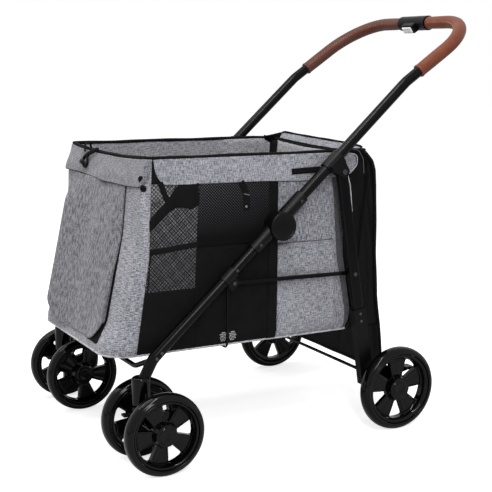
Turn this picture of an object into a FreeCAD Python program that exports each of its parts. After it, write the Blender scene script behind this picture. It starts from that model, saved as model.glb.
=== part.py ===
import FreeCAD, Part
import math
import os

# A folding pet stroller: a fabric basket on two straight side tubes, a U-shaped push
# handle that folds about two side knuckles, two large rear wheels on swinging legs,
# and two twin-wheel casters in front.
#
# Frame: +Z up, the stroller drives toward -Y, +X is its left side. Inside this file
# y = 0 is the rear axle and z = 0 is the floor. Every piece is moved along Y when it
# is written, so that the origin ends up on the floor in the middle of the stroller.

os.makedirs("parts", exist_ok=True)

# ---- driving dimensions, mm and degrees ----

# wheels
wheelbase = 645.0
rearWheelDia = 210.0
frontWheelDia = 190.0
tyreWidth = 36.0
tyreDepth = 16.0            # rubber from rim to tread
tyreShoulder = 11.0         # rounding of the tread's edges
rimBand = 12.0              # solid ring inside the tyre
rimWidth = 30.0
spokeThickness = 13.0
spokeInset = 5.0            # the spokes' middle lies this far inside the wheel's
spokeCount = 5
windowInnerShare = 0.33     # inner end of a window over wheel radius
windowInnerAngle = 10.0     # half angles of one window between two spokes
windowOuterAngle = 17.0
frontWheelTurn = 57.0       # first window, measured from straight up
rearWheelTurn = 36.0
hubWidth = 40.0
hubShare = 0.28             # hub radius over wheel radius
hubCapDepth = 4.0
axleDia = 12.0
wheelFromLeg = 41.0         # rear wheel's middle outside the rear leg's
casterTrackHalf = 68.0      # from the swivel axis to either wheel's middle

# running fits
runFit = 0.05               # radial clearance of a shaft in its bore
slideFit = 0.15             # clearance at the sides of a slider
softGap = 0.4               # between a soft piece and its neighbour
plateGap = 0.3              # between flat faces that turn on each other

# side tubes: one straight line from the caster to the handle's bend
sideX = 261.0
tubeDia = 26.0
tubeWall = 1.5
frameAngle = 42.1
footY = -648.0              # a point low on the line
footZ = 243.5

# distances along that line from the foot, and drops below it
legBendS = 8.0
legRivetS = (13.0, 30.0, 286.0)
legRivetDepth = 2.5
strutS = 264.0
strutDrop = 24.0
lowerSocketS = 350.0
knuckleS = 437.0
knuckleDrop = 9.0
upperSocketS = 527.0
rearLegS = 640.0
rearLegDrop = 30.0
handleBendS = 921.0

# knuckle
knuckleR = 34.0
knuckleInner = 14.5         # inner face, from the tube's middle plane
knuckleOuter = 16.0
knuckleFaceInset = 1.0      # plane where the two halves turn, inside the tube's middle
knuckleClear = 0.6          # around each disc, so the other half's socket passes
socketInset = 36.0          # tube end to knuckle centre
lowerSocketDia = 32.0
upperSocketDia = 34.0
lowerRivetInset = 17.0      # rivet from the socket's mouth
upperRivetInset = 15.0
socketRivetDepth = 2.0
coverThickness = 7.0
coverRounding = 3.0
foldPinDia = 10.0

# push handle
handleBackY = 260.0
handleAngle = 34.0          # slope of the handle's top part
handleBendR = 90.0
handleCornerR = 130.0
gripDia = 34.0
gripStart = 44.0            # from the bend, up the arm
housingHalf = 56.0
housingDia = 39.0
noseHalf = 24.0
noseReach = 32.0
noseHeight = 25.0
noseRounding = 4.0
pocketHalf = 18.0
pocketHeight = 16.0
buttonProud = 4.0
buttonRounding = 1.8
buttonLength = 9.0
buttonTravel = 6.0
springRoom = 4.0            # left behind the pressed button

# caster
casterTrail = 27.0          # swivel axis ahead of the front axle
legEndInset = 4.0           # leg's end behind the swivel axis
legEndZ = 200.0
legBendR = 60.0
housingR = 21.0
housingTop = 213.0
housingBottom = 148.0
housingRounding = 3.0       # its lower edge
housingCrown = 7.0          # its upper edge
stemDia = 14.0
stemTop = 187.0
stemEndGap = 1.0
yokeTop = 147.0
yokeCap = 13.0
yokeCapR = 24.0
yokeHalf = 22.0
yokeFront = 17.0            # arm's root, ahead of and behind the swivel axis
yokeRear = 21.0
bossHalf = 44.0
bossDia = 30.0
armNose = 13.5              # arm's front edge ahead of the axle, and how far below it
armNoseDrop = 4.0
axleEndGap = 1.0
leverAhead = 27.0           # lock lever's pin ahead of the swivel axis
leverZ = 126.0
leverHalf = 9.0
leverReach = 17.0
leverDia = 11.0
leverRoom = 1.0             # free space round the lever's barrel
tongueBottom = 0.5          # underside of its tongue above the pin
leverPinDia = 4.0
leverEar = 4.0
earRoot = 12.0              # ears' rear edge behind the swivel axis, and below the pin
earTip = 5.0                # ears' reach past the pin

# rear legs
legFromTube = 9.0           # rear leg's middle outside the side tube's
rearLegWide = 29.0
rearLegThick = 16.0
rearLegLean = 9.33          # from the vertical
axleBelowLeg = 28.9         # axle past the leg's end, along the leg
legPinDia = 8.0
earR = 14.0
earThick = 5.7
innerEarThick = 7.0
earInset = 4.0              # ears' root from the sleeve's ends
sleeveDia = 33.0
sleeveHalf = 24.0
bridgeRise = 6.0            # side web's top above the tube's middle
legSwingGap = 0.7
legCornerR = 5.0
pinHead = 2.0               # thickness of pin and bolt heads
legPinHeadR = 6.5
strutBoltHeadR = 5.0
strutPinHeadR = 4.5
strutPinHead = 1.5
hubOverlap = 189.0          # boot's reach up the leg from the leg's end
hubRivetInset = (12.0, 31.0)
hubShoulder = 52.0          # where the boot flares to the brake, above its end
hubToe = 3.0                # boot's front corner past its end
hubWall = 3.0
hubBossR = 20.0
hubWheelGap = 2.0           # between the boot's boss and the wheel
crossbarDia = 8.0
crossbarAbove = 54.7        # above the axle, along the leg
crossbarAhead = 5.4         # ahead of the leg's middle
brakeY = 33.0
brakeZ = 131.0
brakeBarrelR = 7.0
brakePinDia = 5.0
brakeRoom = 1.0             # free space round the pedal's barrel
brakeReach = 34.0
brakeArmLow = 3.0           # arm's root below and above the pin
brakeArmHigh = 6.0
brakePadRise = 5.0
brakePadStart = 15.3
brakePadOver = 6.0          # pad's end past the arm
brakePadHalf = 15.0
brakePadThick = 8.0
brakePadRounding = 2.5

# strut between front and rear leg
strutPivotS = 255.6         # along the rear leg from its pivot
strutInset = 11.0           # inner face, inside the side tube's middle
strutThick = 7.0
strutHeight = 9.0
strutEyeR = 7.0
strutEyeWall = 3.0          # bracket beyond the eye
strutEyeRoom = 1.5          # free space round the eye
strutPinDia = 6.0
bracketHalf = 17.0
bracketPlate = 4.0
bracketDia = 32.0

# basket: height, front, rear, half width and front corner radius
basketStations = [
    (250.0, -738.0, -108.0, 232.0, 64.0),
    (275.0, -733.0, -98.0, 241.0, 58.0),
    (475.0, -690.0, -75.0, 241.0, 45.0),
    (692.0, -643.0, -54.0, 241.0, 6.0),
]
basketWall = 3.5
basketFloor = 4.0
boardThick = 3.0
boardInset = 1.0
padThick = 20.0
padInset = 5.0
rimDia = 8.0
rimCornerR = 22.0
frontValanceBack = -634.0   # its ends round the corners
valanceThick = 2.0
frontValanceBottom = 634.0
sideValanceBottom = 633.0
sideValanceFront = -618.0
sideValanceBack = -196.0
doorHalf = 150.0
doorBottom = 262.0
doorTop = 626.0
doorCornerR = 45.0
doorThick = 3.0
wireDia = 5.0
wireY = -447.0
wireCornerR = 12.0
frontBarDia = 12.0
frontBarShare = 0.39        # heights of its middle run and its ends, as shares of the
frontBarEndShare = 0.9      # way from the leg's end up to the leg's bend
frontBarFlat = 196.0        # half length of the middle run, before its ends turn up to the legs
frontBarBendR = 45.0
frontBarReach = 3.0         # how far its ends go into the legs

# rear cover that hangs behind the basket
coverInset = 5.0            # its sides inside the basket's
coverRise = 16.0            # its top above the rim wire's middle
coverWall = 4.0
coverBottom = 136.0
coverDepth = 15.0           # thickness of its upper part
coverLowFront = -58.0       # front and back of its low hem
coverLowBack = -4.0
coverKnees = (560.0, 420.0, 300.0, 215.0)   # heights where its slopes change
coverTopRound = (5.0, 12.0, 40.0)           # rounding of the top edge
bowArm = 30.0               # arms' ends below the cover's top
bowDia = 6.0
bowY = -30.0
bowCornerR = 120.0

# small rivets
rivetHeadR = 3.6
rivetHead = 1.4
rivetShankR = 2.2
beyond = 60.0               # how far cutting shapes reach past a piece

# ---- values worked out from these ----

V = FreeCAD.Vector
xAxis = V(1, 0, 0)
origin = V(0, 0, 0)

tubeR = tubeDia / 2
rearR = rearWheelDia / 2
frontR = frontWheelDia / 2
axleR = axleDia / 2
frameDir = V(0, math.cos(math.radians(frameAngle)), math.sin(math.radians(frameAngle)))
frameUp = V(0, -frameDir.z, frameDir.y)
handleDir = V(0, math.cos(math.radians(handleAngle)), math.sin(math.radians(handleAngle)))
rearLegDir = V(0, math.sin(math.radians(rearLegLean)), -math.cos(math.radians(rearLegLean)))

rearLegX = sideX + legFromTube
rearTrackHalf = rearLegX + wheelFromLeg
hubOuterX = rearTrackHalf - hubWidth / 2 - hubWheelGap
strutInnerX = sideX - strutInset
knuckleFaceX = sideX - knuckleFaceInset
coverHalf = basketStations[-1][3] - coverInset


def onLine(s, drop=0.0, x=0.0):
    """Point s along the side tube's line, drop below it, at side distance x."""
    return V(x, footY, footZ) + frameDir * s - frameUp * drop


knuckle = onLine(knuckleS, knuckleDrop)
legPivot = onLine(rearLegS, rearLegDrop)
strutFront = onLine(strutS, strutDrop)
strutRear = legPivot + rearLegDir * strutPivotS
axleS = (V(0, 0, rearR) - legPivot).dot(rearLegDir)
rearLegLength = axleS - axleBelowLeg
hubTopS = rearLegLength - hubOverlap
hubRivetS = [hubTopS + inset for inset in hubRivetInset]
crossbarS = axleS - crossbarAbove
rearLegFront = V(0, rearLegDir.z, -rearLegDir.y)
crossbar = legPivot + rearLegDir * crossbarS + rearLegFront * crossbarAhead
handleBend = onLine(handleBendS)
handleBackZ = handleBend.z + (handleBackY - handleBend.y) * math.tan(math.radians(handleAngle))
barCentre = V(0, handleBackY, handleBackZ)
frontAxleY = -wheelbase
casterY = frontAxleY - casterTrail
legEnd = V(0, casterY + legEndInset, legEndZ)
frontBarLow = legEnd + (onLine(legBendS) - legEnd) * frontBarShare
frontBarEnd = legEnd + (onLine(legBendS) - legEnd) * frontBarEndShare
leverY = casterY - leverAhead
pocketFloor = noseReach + buttonProud - buttonLength - buttonTravel - springRoom
frontTip = frontAxleY - frontR
rearTip = handleBackY + max(gripDia, housingDia) / 2
midY = (frontTip + rearTip) / 2
basketTop = basketStations[-1][0]
rimZ = basketTop + rimDia / 2
coverFront = basketStations[-1][2] + softGap
coverTop = rimZ + coverRise
floorZ = basketStations[0][0] + basketFloor


# ---- general helpers ----

def cylX(x0, x1, y, z, r):
    """Cylinder of radius r along X from x0 to x1."""
    return Part.makeCylinder(r, x1 - x0, V(x0, y, z), xAxis)


def boxAt(x0, x1, y0, y1, z0, z1):
    return Part.makeBox(x1 - x0, y1 - y0, z1 - z0, V(x0, y0, z0))


def prismX(points, x0, x1):
    """Closed outline of (y, z) points carried along X from x0 to x1."""
    ring = [V(x0, y, z) for y, z in points]
    face = Part.Face(Part.makePolygon(ring + ring[:1]))
    return face.extrude(V(x1 - x0, 0, 0))


def linePrism(spots, x0, x1):
    """Prism along X whose corners are given as (s, drop) on the side tube's line."""
    return prismX([(onLine(s, drop).y, onLine(s, drop).z) for s, drop in spots], x0, x1)


def roundedPath(points, radii):
    """Wire through the points, each inner corner rounded by its own radius."""
    edges = []
    start = points[0]
    for before, corner, after, radius in zip(points, points[1:], points[2:], radii):
        toward = (before - corner).normalize()
        away = (after - corner).normalize()
        half = toward.getAngle(away) / 2
        cut = radius / math.tan(half)
        middle = (toward + away).normalize()
        centre = corner + middle * (radius / math.sin(half))
        arcStart = corner + toward * cut
        arcEnd = corner + away * cut
        edges.append(Part.LineSegment(start, arcStart).toShape())
        edges.append(Part.Arc(arcStart, centre - middle * radius, arcEnd).toShape())
        start = arcEnd
    edges.append(Part.LineSegment(start, points[-1]).toShape())
    return Part.Wire(edges)


def rod(points, radii, r):
    """Round bar of radius r along a rounded path."""
    path = roundedPath(points, radii)
    direction = points[1] - points[0]
    ring = Part.Wire(Part.makeCircle(r, points[0], direction))
    return path.makePipeShell([ring], True, False)


def tube(points, radii, r, wall):
    return rod(points, radii, r).cut(rod(points, radii, r - wall))


def alongLine(s0, s1, r, x=sideX):
    """Cylinder on the side tube's line from s0 to s1."""
    return Part.makeCylinder(r, s1 - s0, onLine(s0, 0, x), frameDir)


def mirrored(shape):
    return shape.mirror(origin, xAxis)


def roundBottomed(half, top, bottom, radius, y, depth):
    """Upright block with two round lower corners, carried along Y from y by depth."""
    bite = radius * (1 - math.sqrt(0.5))
    a, b = V(-half, y, top), V(half, y, top)
    c, right, d = V(half, y, bottom + radius), V(half - bite, y, bottom + bite), V(half - radius, y, bottom)
    e, left, f = V(radius - half, y, bottom), V(bite - half, y, bottom + bite), V(-half, y, bottom + radius)
    edges = [Part.LineSegment(a, b), Part.LineSegment(b, c), Part.Arc(c, right, d),
             Part.LineSegment(d, e), Part.Arc(e, left, f), Part.LineSegment(f, a)]
    return Part.Face(Part.Wire([g.toShape() for g in edges])).extrude(V(0, depth, 0))


def rivet(spot, x, depth):
    """Round-headed rivet whose head sits on the face at x, and the hole it needs."""
    shank = cylX(x - depth, x, spot.y, spot.z, rivetShankR)
    head = cylX(x, x + rivetHead, spot.y, spot.z, rivetHeadR)
    return shank.fuse(head), shank


def save(name, *shapes):
    moved = [s.translated(V(0, -midY, 0)) for s in shapes]
    whole = moved[0] if len(moved) == 1 else Part.makeCompound(moved)
    whole.exportStep("parts/" + name + ".step")


def savePair(name, shape):
    save(name + "_left", shape)
    save(name + "_right", mirrored(shape))


# ---- wheels ----

def wheelTyre(radius, x, y):
    """Solid tyre: a ring with rounded shoulders."""
    body = cylX(x - tyreWidth / 2, x + tyreWidth / 2, y, radius, radius)
    rims = [e for e in body.Edges if e.Length > 3 * radius and e.Closed]
    body = body.makeFillet(tyreShoulder, rims)
    return body.cut(cylX(x - tyreWidth, x + tyreWidth, y, radius, radius - tyreDepth))


def spokeWindow(radius, x, y, turn):
    """Opening between two spokes: straight flanks and a round outer edge."""
    inner = radius * windowInnerShare
    outer = radius - tyreDepth - rimBand

    def polar(r, angle):
        a = math.radians(turn + angle)
        return V(x - hubWidth, y + r * math.sin(a), radius + r * math.cos(a))

    flankA = Part.LineSegment(polar(inner, windowInnerAngle), polar(outer, windowOuterAngle))
    outerArc = Part.Arc(polar(outer, windowOuterAngle), polar(outer, 0), polar(outer, -windowOuterAngle))
    flankB = Part.LineSegment(polar(outer, -windowOuterAngle), polar(inner, -windowInnerAngle))
    innerArc = Part.Arc(polar(inner, -windowInnerAngle), polar(inner, 0), polar(inner, windowInnerAngle))
    ring = Part.Wire([e.toShape() for e in (flankA, outerArc, flankB, innerArc)])
    return Part.Face(ring).extrude(V(2 * hubWidth, 0, 0))


def wheelRim(radius, x, y, outward, turn):
    """Five-spoked rim with a blind axle bore; outward is +1 or -1, the capped side."""
    rimR = radius - tyreDepth
    body = cylX(x - rimWidth / 2, x + rimWidth / 2, y, radius, rimR)
    hollow = cylX(x - rimWidth, x + rimWidth, y, radius, rimR - rimBand)
    body = body.cut(hollow)
    disc = x - outward * spokeInset
    body = body.fuse(cylX(disc - spokeThickness / 2, disc + spokeThickness / 2, y, radius, rimR - rimBand / 2))
    for k in range(spokeCount):
        body = body.cut(spokeWindow(radius, x, y, turn + k * 360 / spokeCount))
    body = body.fuse(cylX(x - hubWidth / 2, x + hubWidth / 2, y, radius, radius * hubShare))
    open0 = x - outward * hubWidth
    closed = x + outward * (hubWidth / 2 - hubCapDepth)
    bore = cylX(min(open0, closed), max(open0, closed), y, radius, axleR + runFit)
    return body.cut(bore).removeSplitter()


# ---- front legs, cross bar and casters ----

def frontLegPoints():
    top = onLine(knuckleS - socketInset, 0, sideX)
    bend = onLine(legBendS, 0, sideX)
    end = V(sideX, legEnd.y, legEnd.z)
    return [top, bend, end]


def frontLeg():
    leg = tube(frontLegPoints(), [legBendR], tubeR, tubeWall)
    for s in legRivetS:
        leg = leg.cut(rivet(onLine(s), sideX + tubeR, tubeR)[1])
    return leg.cut(frontBar())


def casterHousing():
    """Plastic head: the leg's end goes in from above, the caster's stem from below."""
    body = Part.makeCylinder(housingR, housingTop - housingBottom, V(sideX, casterY, housingBottom))
    rims = [e for e in body.Edges if e.Closed and e.Length > 6 * housingR]
    rims.sort(key=lambda e: e.BoundBox.ZMax)
    body = body.makeFillet(housingCrown, rims[-1:])
    rims = [e for e in body.Edges if e.Closed and e.BoundBox.ZMax < housingBottom + 1]
    body = body.makeFillet(housingRounding, rims)
    body = body.cut(rod(frontLegPoints(), [legBendR], tubeR))
    stem = Part.makeCylinder(stemDia / 2 + runFit, stemTop + stemEndGap - housingBottom,
                             V(sideX, casterY, housingBottom))
    return body.cut(stem)


def casterYoke():
    """Stem, round cap, arm down to the axle boss, and ears for the swivel lock."""
    stem = Part.makeCylinder(stemDia / 2, stemTop - yokeTop, V(sideX, casterY, yokeTop))
    cap = Part.makeCylinder(yokeCapR, yokeCap, V(sideX, casterY, yokeTop - yokeCap))
    bossR = bossDia / 2
    capZ = yokeTop - yokeCap
    arm = prismX([(casterY - yokeFront, capZ), (casterY + yokeRear, capZ),
                  (frontAxleY + bossR, frontR), (frontAxleY, frontR - bossR),
                  (frontAxleY - armNose, frontR - armNoseDrop)],
                 sideX - yokeHalf, sideX + yokeHalf)
    boss = cylX(sideX - bossHalf, sideX + bossHalf, frontAxleY, frontR, bossR)
    body = stem.fuse(cap).fuse(arm).fuse(boss)
    earOut = leverHalf + plateGap + leverEar
    for side in (-1, 1):
        near = sideX + side * (leverHalf + plateGap)
        far = sideX + side * earOut
        ear = prismX([(casterY - earRoot, capZ), (leverY - earTip, capZ),
                      (leverY - earTip, leverZ - earTip), (casterY - earRoot, leverZ - earRoot)],
                     min(near, far), max(near, far))
        body = body.fuse(ear)
    slotHalf = leverHalf + plateGap
    room = cylX(sideX - slotHalf, sideX + slotHalf, leverY, leverZ, leverDia / 2 + leverRoom)
    slot = boxAt(sideX - slotHalf, sideX + slotHalf, leverY - leverReach, leverY + leverEar,
                 leverZ - earRoot, yokeTop + leverRoom)
    body = body.cut(room).cut(slot)
    pin = cylX(sideX - earOut, sideX + earOut, leverY, leverZ, leverPinDia / 2)
    body = body.fuse(pin)
    axle = cylX(sideX - beyond, sideX + beyond, frontAxleY, frontR, axleR)
    return body.cut(axle).removeSplitter()


def swivelLock():
    """Small lever that turns on the yoke's pin and points forward."""
    barrel = cylX(sideX - leverHalf, sideX + leverHalf, leverY, leverZ, leverDia / 2)
    tongue = boxAt(sideX - leverHalf, sideX + leverHalf, leverY - leverReach, leverY,
                   leverZ + tongueBottom, leverZ + leverDia / 2)
    bore = cylX(sideX - beyond, sideX + beyond, leverY, leverZ, leverPinDia / 2 + runFit)
    return barrel.fuse(tongue).cut(bore)


def casterAxle():
    reach = casterTrackHalf + hubWidth / 2 - hubCapDepth - axleEndGap
    return cylX(sideX - reach, sideX + reach, frontAxleY, frontR, axleR)


# ---- knuckles ----

def socket(s0, s1, dia, boreS0, boreS1):
    """Sleeve on the side tube's line with a bore for the tube's end."""
    return alongLine(s0, s1, dia / 2).cut(alongLine(boreS0, boreS1, tubeR))


def atKnuckle(x0, x1, r):
    """Round disc, pin or cutter on the knuckle's axis."""
    return cylX(x0, x1, knuckle.y, knuckle.z, r)


def lowerSocketRivet():
    spot = onLine(lowerSocketS + lowerRivetInset)
    return rivet(spot, sideX + lowerSocketDia / 2, socketRivetDepth)


def upperSocketRivet():
    spot = onLine(upperSocketS - upperRivetInset)
    return rivet(spot, sideX + upperSocketDia / 2, socketRivetDepth)


def knuckleLower():
    body = socket(lowerSocketS, knuckleS, lowerSocketDia, lowerSocketS - beyond, knuckleS - socketInset)
    faceX = knuckleFaceX - plateGap / 2
    disc = atKnuckle(sideX - knuckleInner, faceX, knuckleR)
    room = atKnuckle(faceX, sideX + beyond, knuckleR + knuckleClear)
    pin = atKnuckle(sideX - beyond, sideX + beyond, foldPinDia / 2 + runFit)
    body = body.cut(room).fuse(disc).cut(pin)
    return body.cut(lowerSocketRivet()[1]).removeSplitter()


def knuckleUpper():
    body = socket(knuckleS, upperSocketS, upperSocketDia, knuckleS + socketInset, upperSocketS + beyond)
    faceX = knuckleFaceX + plateGap / 2
    disc = atKnuckle(faceX, sideX + knuckleOuter, knuckleR)
    room = atKnuckle(sideX - beyond, faceX, knuckleR + knuckleClear)
    face = atKnuckle(sideX + knuckleOuter, sideX + beyond, knuckleR + knuckleClear)
    pin = atKnuckle(sideX - beyond, sideX + beyond, foldPinDia / 2)
    body = body.cut(room).cut(face).fuse(disc).cut(pin)
    return body.cut(upperSocketRivet()[1]).removeSplitter()


def knuckleCover():
    x1 = sideX + knuckleOuter + coverThickness
    body = atKnuckle(sideX + knuckleOuter, x1, knuckleR)
    outer = [e for e in body.Edges if e.Closed and abs(e.CenterOfMass.x - x1) < plateGap]
    return body.makeFillet(coverRounding, outer)


def foldPin():
    return atKnuckle(sideX - knuckleInner, sideX + knuckleOuter, foldPinDia / 2)


# ---- push handle ----

def handlePoints(first, last):
    """Path of the push handle from a point on the left arm to one further on."""
    corners = [V(sideX, handleBend.y, handleBend.z), V(sideX, handleBackY, handleBackZ),
               V(-sideX, handleBackY, handleBackZ), V(-sideX, handleBend.y, handleBend.z)]
    return [first] + corners + [last]


def handleTube():
    start = onLine(knuckleS + socketInset, 0, sideX)
    end = onLine(knuckleS + socketInset, 0, -sideX)
    radii = [handleBendR, handleCornerR, handleCornerR, handleBendR]
    return tube(handlePoints(start, end), radii, tubeR, tubeWall)


def handleGrip():
    """Wrapped cover of one arm's top, its corner and half of the bar."""
    start = V(sideX, handleBend.y, handleBend.z) + handleDir * gripStart
    corner = V(sideX, handleBackY, handleBackZ)
    end = V(housingHalf + softGap, handleBackY, handleBackZ)
    points = [start, corner, end]
    outer = rod(points, [handleCornerR], gripDia / 2)
    return outer.cut(rod(points, [handleCornerR], tubeR + runFit))


def onBar(shape):
    """Turn a shape drawn about the origin into the handle's slope, on the bar."""
    turned = shape.copy()
    turned.rotate(origin, xAxis, handleAngle)
    turned.translate(barCentre)
    return turned


def releaseHousing():
    body = cylX(-housingHalf, housingHalf, 0, 0, housingDia / 2)
    nose = boxAt(-noseHalf, noseHalf, -noseReach, 0, -noseHeight / 2, noseHeight / 2)
    nose = nose.makeFillet(noseRounding, nose.Edges)
    body = body.fuse(nose)
    body = body.cut(cylX(-housingHalf - beyond, housingHalf + beyond, 0, 0, tubeR + runFit))
    pocket = boxAt(-pocketHalf, pocketHalf, -noseReach - beyond, -pocketFloor,
                   -pocketHeight / 2, pocketHeight / 2)
    return onBar(body.cut(pocket))


def releaseButton():
    front = -noseReach - buttonProud
    body = boxAt(-pocketHalf + slideFit, pocketHalf - slideFit, front, front + buttonLength,
                 -pocketHeight / 2 + slideFit, pocketHeight / 2 - slideFit)
    faceEdges = [e for e in body.Edges if abs(e.CenterOfMass.y - front) < slideFit]
    return onBar(body.makeFillet(buttonRounding, faceEdges))


# ---- rear legs ----

def topBracket():
    """Sleeve on the handle tube with two ears that hold the rear leg's top."""
    body = alongLine(rearLegS - sleeveHalf, rearLegS + sleeveHalf, sleeveDia / 2)
    outerX = rearLegX + rearLegThick / 2 + plateGap
    innerX = rearLegX - rearLegThick / 2 - plateGap
    legTop = rearLegDrop - rearLegWide / 2 - legSwingGap
    lowS = rearLegS - sleeveHalf + earInset
    highS = rearLegS + sleeveHalf - earInset

    def ear(x0, x1):
        disc = cylX(x0, x1, legPivot.y, legPivot.z, earR)
        plate = linePrism([(rearLegS - earR, rearLegDrop), (rearLegS + earR, rearLegDrop),
                           (highS, 0), (lowS, 0)], x0, x1)
        return disc.fuse(plate)

    body = body.fuse(ear(outerX, outerX + earThick)).fuse(ear(innerX - innerEarThick, innerX))
    web = linePrism([(lowS, -bridgeRise), (highS, -bridgeRise), (highS, legTop), (lowS, legTop)],
                    sideX, outerX + earThick)
    swing = cylX(innerX, outerX, legPivot.y, legPivot.z, rearLegWide / 2 + legSwingGap)
    body = body.fuse(web).cut(swing)
    body = body.cut(alongLine(rearLegS - beyond, rearLegS + beyond, tubeR))
    pin = cylX(sideX - beyond, sideX + beyond, legPivot.y, legPivot.z, legPinDia / 2)
    return body.cut(pin).removeSplitter()


def legPin():
    x0 = rearLegX - rearLegThick / 2 - plateGap - innerEarThick
    x1 = rearLegX + rearLegThick / 2 + plateGap + earThick
    shank = cylX(x0, x1, legPivot.y, legPivot.z, legPinDia / 2)
    return shank.fuse(cylX(x1, x1 + pinHead, legPivot.y, legPivot.z, legPinHeadR))


def rearLegBlank(grow=0.0):
    """Flat oval bar drawn hanging from the origin, then leaned and put on its pivot."""
    half = rearLegWide / 2 + grow
    thick = rearLegThick + 2 * grow
    x0 = rearLegX - thick / 2
    bar = boxAt(x0, x0 + thick, -half, half, -rearLegLength - grow, 0)
    uprights = [e for e in bar.Edges if e.Length > rearLegLength - plateGap]
    bar = bar.makeFillet(legCornerR, uprights)
    bar = bar.fuse(cylX(x0, x0 + thick, 0, 0, half))
    bar.rotate(origin, xAxis, rearLegLean)
    bar.translate(legPivot)
    return bar


def rearLeg():
    pin = cylX(sideX - beyond, sideX + beyond, legPivot.y, legPivot.z, legPinDia / 2 + runFit)
    leg = rearLegBlank().cut(pin)
    leg = leg.cut(cylX(sideX, sideX + beyond, strutRear.y, strutRear.z, strutPinDia / 2))
    return leg.removeSplitter()


def legEdgePoint(s, side):
    """Point on the rear hub's outline beside the leg, s from the leg's pivot."""
    p = legPivot + rearLegDir * s - rearLegFront * side * (rearLegWide / 2 + hubWall)
    return (p.y, p.z)


def rearHub():
    """Plastic boot on the leg's end, reaching back to the axle and the brake."""
    x0 = rearLegX - rearLegThick / 2 - hubWall
    x1 = rearLegX + rearLegThick / 2 + hubWall
    bottomS = rearLegLength + hubWall
    boot = prismX([legEdgePoint(hubTopS, -1), legEdgePoint(hubTopS, 1),
                   legEdgePoint(bottomS - hubShoulder, 1),
                   (brakeY, brakeZ + brakeBarrelR), (brakeY, brakeZ - brakeBarrelR),
                   (hubBossR - hubWall / 2, rearR), (hubWall, rearR - hubBossR + plateGap),
                   legEdgePoint(bottomS + hubToe, -1)], x0, x1)
    body = boot.fuse(cylX(x0, hubOuterX, 0, rearR, hubBossR))
    earRoom = brakeBarrelR + brakeRoom
    body = body.fuse(cylX(x0, x1, brakeY, brakeZ, brakeBarrelR))
    slot = cylX(x0 + hubWall + plateGap, x1 - hubWall - plateGap, brakeY, brakeZ, earRoom)
    body = body.cut(slot.fuse(boxAt(x0 + hubWall + plateGap, x1 - hubWall - plateGap,
                                    brakeY, brakeY + beyond, brakeZ - earRoom, brakeZ + beyond)))
    body = body.fuse(cylX(x0, x1, brakeY, brakeZ, brakePinDia / 2))
    body = body.cut(rearLegBlank())
    body = body.cut(cylX(x0, hubOuterX, 0, rearR, axleR))
    body = body.cut(cylX(0, x0 + hubWall, crossbar.y, crossbar.z, crossbarDia / 2))
    for s in hubRivetS:
        body = body.cut(rivet(legPivot + rearLegDir * s, x1, hubWall)[1])
    return body.removeSplitter()


def rearAxle():
    x0 = rearLegX - rearLegThick / 2 - hubWall
    x1 = rearTrackHalf + hubWidth / 2 - hubCapDepth - axleEndGap
    return cylX(x0, x1, 0, rearR, axleR)


def brakeLever():
    """Foot pedal that turns on the hub's pin."""
    half = rearLegThick / 2
    x0, x1 = rearLegX - half + 2 * plateGap, rearLegX + half - 2 * plateGap
    barrel = cylX(x0, x1, brakeY, brakeZ, brakeBarrelR)
    padZ = brakeZ + brakePadRise
    arm = prismX([(brakeY, brakeZ - brakeArmLow), (brakeY + brakeReach, padZ),
                  (brakeY + brakeReach, padZ + brakePadThick), (brakeY, brakeZ + brakeArmHigh)], x0, x1)
    pad = boxAt(rearLegX - brakePadHalf, rearLegX + brakePadHalf, brakeY + brakePadStart,
                brakeY + brakeReach + brakePadOver, padZ, padZ + brakePadThick)
    pad = pad.makeFillet(brakePadRounding, pad.Edges)
    body = barrel.fuse(arm).fuse(pad)
    return body.cut(cylX(x0, x1, brakeY, brakeZ, brakePinDia / 2 + runFit)).removeSplitter()


# ---- strut and its bracket ----

def strut():
    x1 = strutInnerX + strutThick
    length = (strutRear - strutFront).Length
    angle = math.degrees(math.atan2(strutRear.z - strutFront.z, strutRear.y - strutFront.y))
    bar = boxAt(strutInnerX, x1, 0, length, -strutHeight / 2, strutHeight / 2)
    bar = bar.fuse(cylX(strutInnerX, x1, 0, 0, strutEyeR)).fuse(cylX(strutInnerX, x1, length, 0, strutEyeR))
    legFace = rearLegX - rearLegThick / 2 - plateGap
    bar = bar.fuse(cylX(x1, legFace, length, 0, strutEyeR))
    bar = bar.cut(cylX(strutInnerX, x1, 0, 0, strutPinDia / 2 + runFit))
    bar.rotate(origin, xAxis, angle)
    bar.translate(V(0, strutFront.y, strutFront.z))
    return bar.removeSplitter()


def strutBracket():
    """Clamp on the front leg with two plates that hold the strut's front eye."""
    body = alongLine(strutS - bracketHalf, strutS + bracketHalf, bracketDia / 2)
    slotX0 = strutInnerX - plateGap
    slotX1 = strutInnerX + strutThick + plateGap
    low = strutEyeR + strutEyeWall
    for x0, x1 in ((slotX0 - bracketPlate, slotX0), (slotX1, slotX1 + bracketPlate)):
        body = body.fuse(linePrism([(strutS - bracketHalf, 0), (strutS - bracketHalf, strutDrop + low),
                                    (strutS + low, strutDrop + low), (strutS + bracketHalf, 0)], x0, x1))
    body = body.cut(cylX(slotX0, slotX1, strutFront.y, strutFront.z, strutEyeR + strutEyeRoom))
    body = body.cut(alongLine(strutS - beyond, strutS + beyond, tubeR)).cut(baseWire())
    pin = cylX(strutInnerX - beyond, strutInnerX + beyond, strutFront.y, strutFront.z, strutPinDia / 2)
    return body.cut(pin).removeSplitter()


def strutPin():
    x0 = strutInnerX - plateGap - bracketPlate
    x1 = strutInnerX + strutThick + plateGap + bracketPlate
    shank = cylX(x0, x1, strutFront.y, strutFront.z, strutPinDia / 2)
    return shank.fuse(cylX(x1, x1 + strutPinHead, strutFront.y, strutFront.z, strutPinHeadR))


# ---- basket ----

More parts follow.
